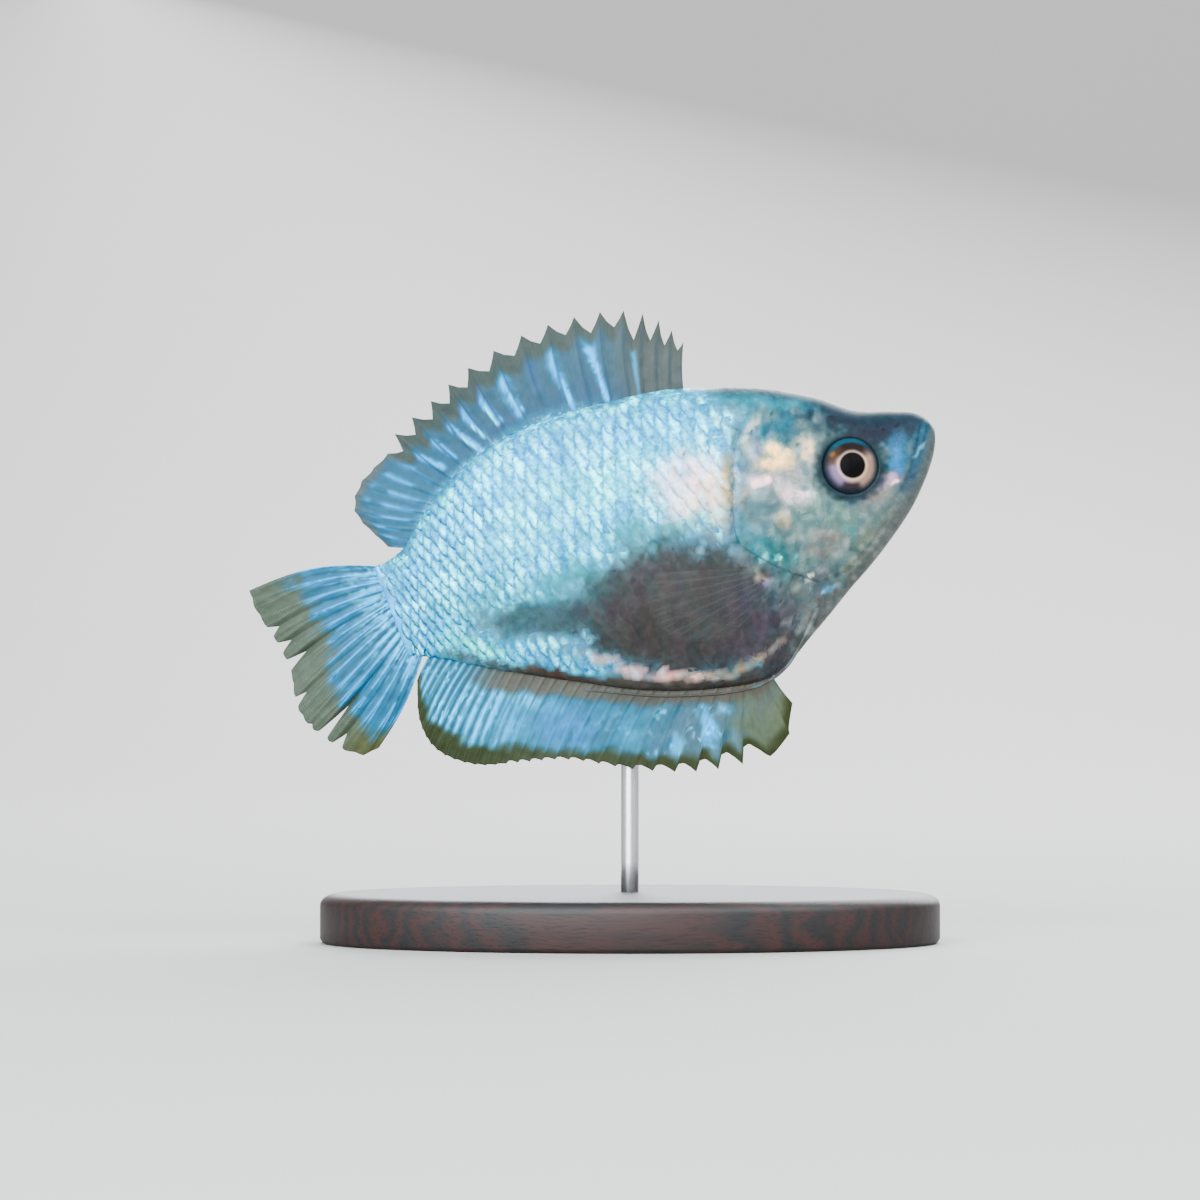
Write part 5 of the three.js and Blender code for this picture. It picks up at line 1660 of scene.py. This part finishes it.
@dataclass
class TailFin:
    """The tail fin: fourteen rays that branch twice, with a torn, slightly forked edge."""

    roots: tuple = ((-0.1, 4.9), (-0.5, 1.6), (-0.3, -1.8), (1.0, -4.8))
    tips: tuple = (
        (-13.4, 7.0), (-13.5, 5.3), (-13.1, 3.3), (-12.6, 1.5), (-12.3, -0.4), (-12.2, -2.4), (-12.6, -4.3),
        (-12.7, -5.9), (-12.4, -7.3), (-11.9, -8.4), (-10.9, -9.9), (-9.7, -11.3), (-8.1, -12.4),
        (-6.4, -12.2),
    )
    notches: tuple = (0.1, 0.1, 1.1, 1.4, 2.3, 0.1, 1.4, 0.1, 0.3, 4.1, 1.6, 0.1, 0.1, 0.1)
    profile: tuple = ((0.22, 0.05), (0.5, 1.0), (0.78, 0.05))
    bows: Pair = (-0.075, 0.05)
    ridge: float = 0.18
    sway: tuple = (0.35, 8.0, 0.0, 0.0, 1.6)

    def paint(self, sheet: Sheet, mask: Array) -> Array:
        """Colours the fin: blue with pale rays out to two thirds, then clear olive grey."""
        x, v, w, along = (sheet[key] for key in ("x", "v", "w", "along"))
        lumps, fine = cloud(sheet["points"], 1.3, 51), cloud(sheet["points"], 0.3, 52)
        lines = drawn_out(x, v, 6.0, 5.0, 53)
        gaps = maximum(bell(minimum(w, 1.0 - w) - 0.5, 0.14), 0.6 * smooth(0.55, 0.85, lines))
        rays = maximum(mask, 0.7 * smooth(0.6, 0.85, drawn_out(x, v, 7.0, 7.0, 54)))
        base = drop(0.1, 0.45, v) * smooth(0.3, 0.6, 0.6 * lines + 0.4 * fine)
        limit = interp(along, [0.0, 0.3, 0.6, 1.0], [0.64, 0.6, 0.66, 0.86])
        outer = smooth(-0.08, 0.1, v - limit + 0.2 * (lumps - 0.5) + 0.16 * (lines - 0.5))
        colour = layered(
            srgb("#659fbf"), ("#4f7f9c", 0.8 * gaps * smooth(0.75, 0.4, v)),
            ("#8fcff0", 0.85 * rays * smooth(0.2, 0.55, lumps + 0.3 * fine)), ("#b4eaf8", 0.8 * base))
        margin = layered(srgb("#8a9384"), ("#90906a", smooth(0.75, 0.95, along)))
        colour = layered(blend(colour, margin, 0.94 * outer), ("#9da396", 0.25 * outer * mask))
        return pigment(colour) * (0.66 + 0.2 * fine[..., None])

    def build(self) -> Object:
        """Makes the tail fin."""
        fine = spline(array(self.roots), linspace(0.0, 1.0, 200))
        travel = concatenate([[0.0], cumsum(norm(diff(fine, axis=0), axis=1))])
        count = len(self.tips)
        share = linspace(0.0, travel[-1], count)
        flat = zeros(count)
        x, z = (interp(share, travel, fine[:, k]) for k in (0, 1))
        root = stack([x, flat, z], -1)
        tips = array(self.tips)
        tip = stack([tips[:, 0], flat, tips[:, 1]], -1)
        bow = linspace(self.bows[0], self.bows[1], count)
        rays = Rays(root, tip, array(self.notches), full(count, self.ridge), bow)
        fin = Fin("tail_fin_web", rays, self.profile, array([0.0, 1.0, 0.0]), self.sway,
                  columns=20, rows=56, fork_at=(0.3, 0.65), ray_width=0.13)
        return fin.build(self.paint, FinMembrane("tail_fin_membrane"), "fin", "tail_fin")


@dataclass
class PectoralFin:
    """A side fin: nine fine rays in a nearly clear membrane, held off the flank."""

    body: BodyShape
    side: Side
    count: int = 9
    ridge: float = 0.16
    notch: float = 0.3
    root_top: Pair = (35.9, -8.0)
    root_bottom: Pair = (37.0, -10.1)
    longest: float = 13.4
    longest_ray: int = 3
    angles: Pair = (163.0, 206.0)
    outward: float = 17.0

    def paint(self, sheet: Sheet, mask: Array) -> Array:
        """Colours the fin: pale grey, with a beige bar at its root."""
        v = sheet["v"]
        return pigment(layered(
            srgb("#aebab6"), ("#c4b8a8", drop(0.04, 0.14, v)), ("#8e9a98", 0.6 * mask)))

    def build(self) -> Object:
        """Makes the pectoral fin of this side."""
        k = arange(self.count)
        share = k / (self.count - 1.0)
        x = self.root_top[0] + (self.root_bottom[0] - self.root_top[0]) * share
        z = self.root_top[1] + (self.root_bottom[1] - self.root_top[1]) * share
        angle = np.radians(self.angles[0] + (self.angles[1] - self.angles[0]) * share)
        away = math.radians(self.outward)
        beyond = (k - self.longest_ray) / (self.count - 1.0 - self.longest_ray)
        length = self.longest * (1.0 - 0.42 * beyond**2)
        sign = self.side.value
        root = stack([x, sign * (self.body.flank(x, z) - 0.6), z], -1)
        run = stack([np.cos(angle) * math.cos(away), full(self.count, sign * math.sin(away)),
                        np.sin(angle) * math.cos(away)], -1)
        rays = Rays(root, root + run * length[:, None], full(self.count, self.notch),
                    full(self.count, self.ridge), zeros(self.count))
        label = self.side.name.lower()
        fin = Fin(f"pectoral_web_{label}", rays, ((0.5, 1.0),), array([0.0, float(sign), 0.0]),
                  (0.15, 7.0, 0.0, 0.0, -0.5), rows=40, thickness=0.06, fork_at=(0.45, 0.8), ray_width=0.09)
        finish = FinMembrane(f"clear_fin_membrane_{label}", clear=0.012, ray_clear=0.06)
        return fin.build(self.paint, finish, "clear_fin", f"pectoral_fin_{label}")


@dataclass
class PelvicThread:
    """A pelvic fin: one long feeler, folded back along the breast and past the anal fin's root."""

    body: BodyShape
    markings: Markings
    side: Side
    reach: tuple = (
        (39.6, -13.6), (37.4, -15.9), (34.9, -18.0), (32.0, -18.9), (28.6, -18.6), (25.2, -17.7),
        (21.6, -16.5), (18.2, -15.0), (15.0, -13.6),
    )
    off_midline: float = 1.15
    radius: Pair = (0.36, 0.14)

    def build(self) -> Object:
        """Makes the thread: a tube that tapers quickly behind its root and again to its tip."""
        line = line_through(self.reach, 120)
        share = linspace(0.0, 1.0, len(line))
        off = self.body.flank(line[:, 0], line[:, 1]) + interp(share, [0.0, 0.04], [-0.5, 0.5])
        out = maximum(self.off_midline, off)
        path = stack([line[:, 0], self.side.value * out, line[:, 1]], -1)
        thread = interp(share, [0.0, 0.12], self.radius) * interp(share, [0.85, 1.0], [1.0, 0.35])
        label = self.side.name.lower()
        piece = tube(f"pelvic_feeler_{label}", path, thread)
        # Clear but for what shows through it, so it takes the colours of the breast and of the band behind
        points = concatenate([np.tile(path, (12, 1)), path[:1], path[-1:]])
        band = 0.85 * drop(29.0, 34.0, points[:, 0])
        set_colours(piece, blend(self.markings.colours(points), pigment(srgb("#6d6a66")), band))
        finish = SilveredSkin(f"feeler_skin_{label}", metallic=0.0, wet=0.0)
        settle(piece, finish.material(), "clear_fin", f"pelvic_thread_{label}")
        return piece


@dataclass
class Eye:
    """An eyeball turned about its own axis: a flattened ball, a low cornea and the lens behind it."""

    side: Side
    centre: tuple[float, float, float] = (47.35, 3.6, -1.3)
    radius: float = 2.95
    inner: float = 2.3
    dome: float = 0.95
    pupil: float = 1.34
    lens_rise: float = 0.2
    forward: float = 0.2
    up: float = 0.03
    steps: int = 64
    turns: int = 96

    def profile(self) -> tuple[Array, Array]:
        """Returns the radius and height of the turned profile, from the back pole to the front one.

        Behind the rim it is a quarter ellipse. In front the cornea is dome sqrt(1 - q^2), q being the
        share of the radius, and the lens adds a low bump within the pupil.
        """
        back = linspace(-math.pi / 2.0, 0.0, 16)[:-1]
        q = 1.0 - linspace(0.0, 1.0, self.steps) ** 1.2
        lens = self.lens_rise * bell(q * self.radius, self.pupil)
        front = self.dome * np.sqrt(clip(1.0 - q**2, 0.0, 1.0)) + lens
        radius = concatenate([self.radius * np.cos(back), self.radius * q])
        return radius, concatenate([self.inner * np.sin(back), front])

    def paint(self, radius: Array, angle: Array) -> Array:
        """Colours the eye by the distance from its axis and the angle round it, seen from outside.

        The angle is 0 towards the snout and a quarter turn at the top.
        """
        spot = stack([radius * np.cos(angle), np.zeros_like(radius), radius * np.sin(angle)], -1)
        mottle = cloud(spot, 0.5, 71)

        def sector(middle: float, half: float) -> Array:
            """Returns 1 round an angle in degrees, fading out over the half width."""
            gap = (angle - math.radians(middle) + math.pi) % (2.0 * math.pi) - math.pi
            return drop(0.45, 1.0, np.abs(gap) / math.radians(half))

        gold = np.hypot(radius * np.cos(angle) + 2.08, radius * np.sin(angle) - 1.2)
        arc = sector(98.0, 62.0) * smooth(2.15, 2.4, radius) * drop(2.7, 2.93, radius)
        colour = layered(
            srgb("#b09c96"), ("#b0a2bc", 0.9 * sector(216.0, 60.0)), ("#bba79c", 0.8 * sector(-12.0, 80.0)),
            ("#dcd4c4", 0.75 * bell(radius - self.pupil - 0.1, 0.2)),
            ("#38302e", 0.9 * sector(96.0, 72.0) * smooth(1.3, 1.75, radius)),
            ("#6e5446", 0.8 * sector(150.0, 40.0) * smooth(1.5, 2.0, radius)),
            ("#d6a968", 0.9 * drop(0.1, 0.55, gold)),
            ("#544a50", 0.9 * sector(268.0, 34.0) * smooth(1.6, 2.0, radius)),
            ("#3c464f", 0.95 * smooth(1.95, 2.85, radius)), ("#3d7088", 0.85 * arc))
        pupil = drop(self.pupil - 0.14, self.pupil + 0.08, radius)
        return blend(pigment(colour) * (0.9 + 0.2 * mottle[..., None]), full(3, 0.0015), pupil)

    def build(self) -> Object:
        """Makes the eye of this side, turned a little forwards."""
        radius, height = self.profile()
        # The poles are single points, so the end rings are left off the grid
        radius_in, height_in = radius[1:-1], height[1:-1]
        turn = linspace(0.0, 2.0 * math.pi, self.turns, endpoint=False)
        angle, r = broadcast_arrays(turn[:, None], radius_in[None, :])
        sign = self.side.value
        own = stack([r * np.cos(angle), np.broadcast_to(height_in, r.shape), r * np.sin(angle)], -1)
        poles = array([[0.0, height[0], 0.0], [0.0, height[-1], 0.0]])
        own = concatenate([own.reshape(-1, 3), poles])
        own[:, 1] *= sign
        yaw, roll = -sign * self.forward, sign * self.up
        x = own[:, 0] * math.cos(yaw) - own[:, 1] * math.sin(yaw)
        y = own[:, 0] * math.sin(yaw) + own[:, 1] * math.cos(yaw)
        z = y * math.sin(roll) + own[:, 2] * math.cos(roll)
        y = y * math.cos(roll) - own[:, 2] * math.sin(roll)
        fish = stack([x + self.centre[0], y + sign * self.centre[1], z + self.centre[2]], -1)
        faces = [f[:, ::-1] for f in turned_faces(self.turns, len(radius_in))]
        label = self.side.name.lower()
        piece = new_piece(f"eyeball_{label}", to_display(fish), faces)
        face_out(piece)
        colours = self.paint(r, angle + PITCH).reshape(-1, 3)
        set_colours(piece, concatenate([colours, colours[:1] * 0.0 + 0.01, colours[:1] * 0.0 + 0.003]))
        settle(piece, WetEye(f"wet_eye_{label}").material(), "eye", f"eye_{label}")
        return piece


# The stand


@dataclass
class Stand:
    """An oval wooden base with a rounded edge, and one steel rod up to the far flank."""

    length: float = 62.0
    width: float = 38.0
    height: float = 5.0
    bevel: float = 1.2
    rod_radius: float = 0.9
    rod_y: float = 2.8
    rod_bottom: float = 2.3
    rod_top: float = 34.6
    turns: int = 128

    def turned(self, name: str, profile: list[Pair], stretch: float, y: float) -> Object:
        """Turns a profile about an upright axis, stretched along x.

        Args:
            name: the piece's name.
            profile: radius and height of each ring between the two poles, mm.
            stretch: how much longer the form is along x.
            y: the axis's place, mm.

        Returns:
            The object.
        """
        rings = array(profile)
        angle = linspace(0.0, 2.0 * math.pi, self.turns, endpoint=False)[:, None]
        x = rings[None, :, 0] * np.cos(angle) * stretch
        z = np.broadcast_to(rings[None, :, 1], x.shape)
        points = stack([x, y + rings[None, :, 0] * np.sin(angle), z], -1)
        poles = array([[0.0, y, rings[0, 1]], [0.0, y, rings[-1, 1]]])
        whole = concatenate([points.reshape(-1, 3), poles]) * MM
        piece = new_piece(name, whole, turned_faces(self.turns, len(rings)))
        face_out(piece)
        return piece

    def build(self) -> None:
        """Makes the base and the rod."""
        half, bevel, top, r = self.width / 2.0, self.bevel, self.height, self.rod_radius
        curve = linspace(0.0, math.pi / 2.0, 10)
        round_over = [(half - bevel + bevel * math.cos(a), top - bevel + bevel * math.sin(a)) for a in curve]
        foot = [(half - 3.0, 0.0), (half - 0.5, 0.0), (half - 0.15, 0.12), (half, 0.5)]
        inner = [(half - bevel - 0.4, top), (half - 3.0, top)]
        base = self.turned("walnut_base", [*foot, *round_over, *inner], self.length / self.width, 0.0)
        settle(base, OiledWalnut().material(), "stand_wood", "stand_base")
        foot = [(r * 0.6, self.rod_bottom), (r, self.rod_bottom + 0.1), (r, 8.0), (r, 20.0)]
        tip = [(r * math.cos(a), self.rod_top - 0.3 + 0.3 * math.sin(a)) for a in curve[:-1]]
        rod = self.turned("steel_rod", [*foot, *tip], 1.0, self.rod_y)
        settle(rod, BrushedSteel().material(), "stand_steel", "stand_rod")


def look_along(aim: Array) -> tuple[float, float, float]:
    """Returns the Euler angles that point an object's -z axis along a direction."""
    level = math.hypot(aim[0], aim[1])
    return (math.atan2(level, -aim[2]), 0.0, math.atan2(aim[1], aim[0]) - math.pi / 2.0)


@dataclass
class Studio:
    """A pale floor that sweeps up behind, three soft lights and the camera."""

    frame_width: float = 0.12  # metres of the fish's plane across the picture
    middle: Pair = (-0.003, 0.0343)  # x and z at the picture's middle
    distance: float = 0.6
    sensor: float = 36.0  # mm

    def floor(self) -> None:
        """Makes the floor: flat, then a quarter round of 0.25 m, then a wall."""
        bend = linspace(0.0, math.pi / 2.0, 24)
        y = concatenate([[-2.5], 0.45 + 0.25 * np.sin(bend), [0.7]])
        z = concatenate([[0.0], 0.25 - 0.25 * np.cos(bend), [2.5]])
        x = array([-3.0, 3.0])[:, None]
        points = stack(broadcast_arrays(x, y[None, :], z[None, :]), -1).reshape(-1, 3)
        piece = new_piece("floor_sweep", points, [grid_faces(2, len(y))])
        piece.data.materials.append(PalePaint().material())

    def light(self, name: str, place: tuple, size: float, power: float, tone: str) -> None:
        """Hangs one square soft light that faces the fish.

        Args:
            name: the light's name.
            place: its x, y and z, metres.
            size: its width, metres.
            power: its power, watts.
            tone: its colour.
        """
        data = bpy.data.lights.new(name, "AREA")
        data.size = size
        data.energy = power
        data.color = linear(srgb(tone))
        lamp = bpy.data.objects.new(name, data)
        lamp.location = place
        aim = array([0.0, 0.0, 0.036]) - array(place)
        lamp.rotation_euler = look_along(aim)
        bpy.context.scene.collection.objects.link(lamp)

    def build(self) -> None:
        """Makes the floor, the lights, the world and the camera."""
        self.floor()
        self.light("key", (-0.22, -0.6, 0.3), 0.7, 26.0, "#f6fbff")
        self.light("fill", (0.42, -0.42, 0.5), 0.5, 9.5, "#f0f9ff")
        self.light("far", (0.12, 0.42, 0.4), 0.6, 17.0, "#f6fbff")
        world = bpy.data.worlds.new("studio")
        world.use_nodes = True
        world.node_tree.nodes.clear()
        sky = add_node(world.node_tree, "Background", {"Color": rgba("#f4f6f8"), "Strength": 1.6})
        add_node(world.node_tree, "OutputWorld", (sky,))
        bpy.context.scene.world = world
        data = bpy.data.cameras.new("camera")
        data.sensor_width = self.sensor
        data.lens = self.sensor * self.distance / self.frame_width
        data.clip_start = 0.01
        camera = bpy.data.objects.new("camera", data)
        camera.location = (self.middle[0], -self.distance, self.middle[1])
        camera.rotation_euler = (math.pi / 2.0, 0.0, 0.0)
        bpy.context.scene.collection.objects.link(camera)
        bpy.context.scene.camera = camera


def main() -> None:
    """Builds the model's pieces in order."""
    logging.basicConfig(level=logging.INFO, format="%(name)s: %(message)s")
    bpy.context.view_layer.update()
    Studio().build()
    body, head = BodyShape(), HeadForms()
    markings = Markings(body, head)
    Skin(body, head, markings).build()
    for side in Side:
        ScaleCoat(body, head, markings, side).build()
        Eye(side).build()
        PectoralFin(body, side).build()
        PelvicThread(body, markings, side).build()
    DorsalFin(body).build()
    AnalFin(body).build()
    TailFin().build()
    Stand().build()


if __name__ == "__main__":
    main()
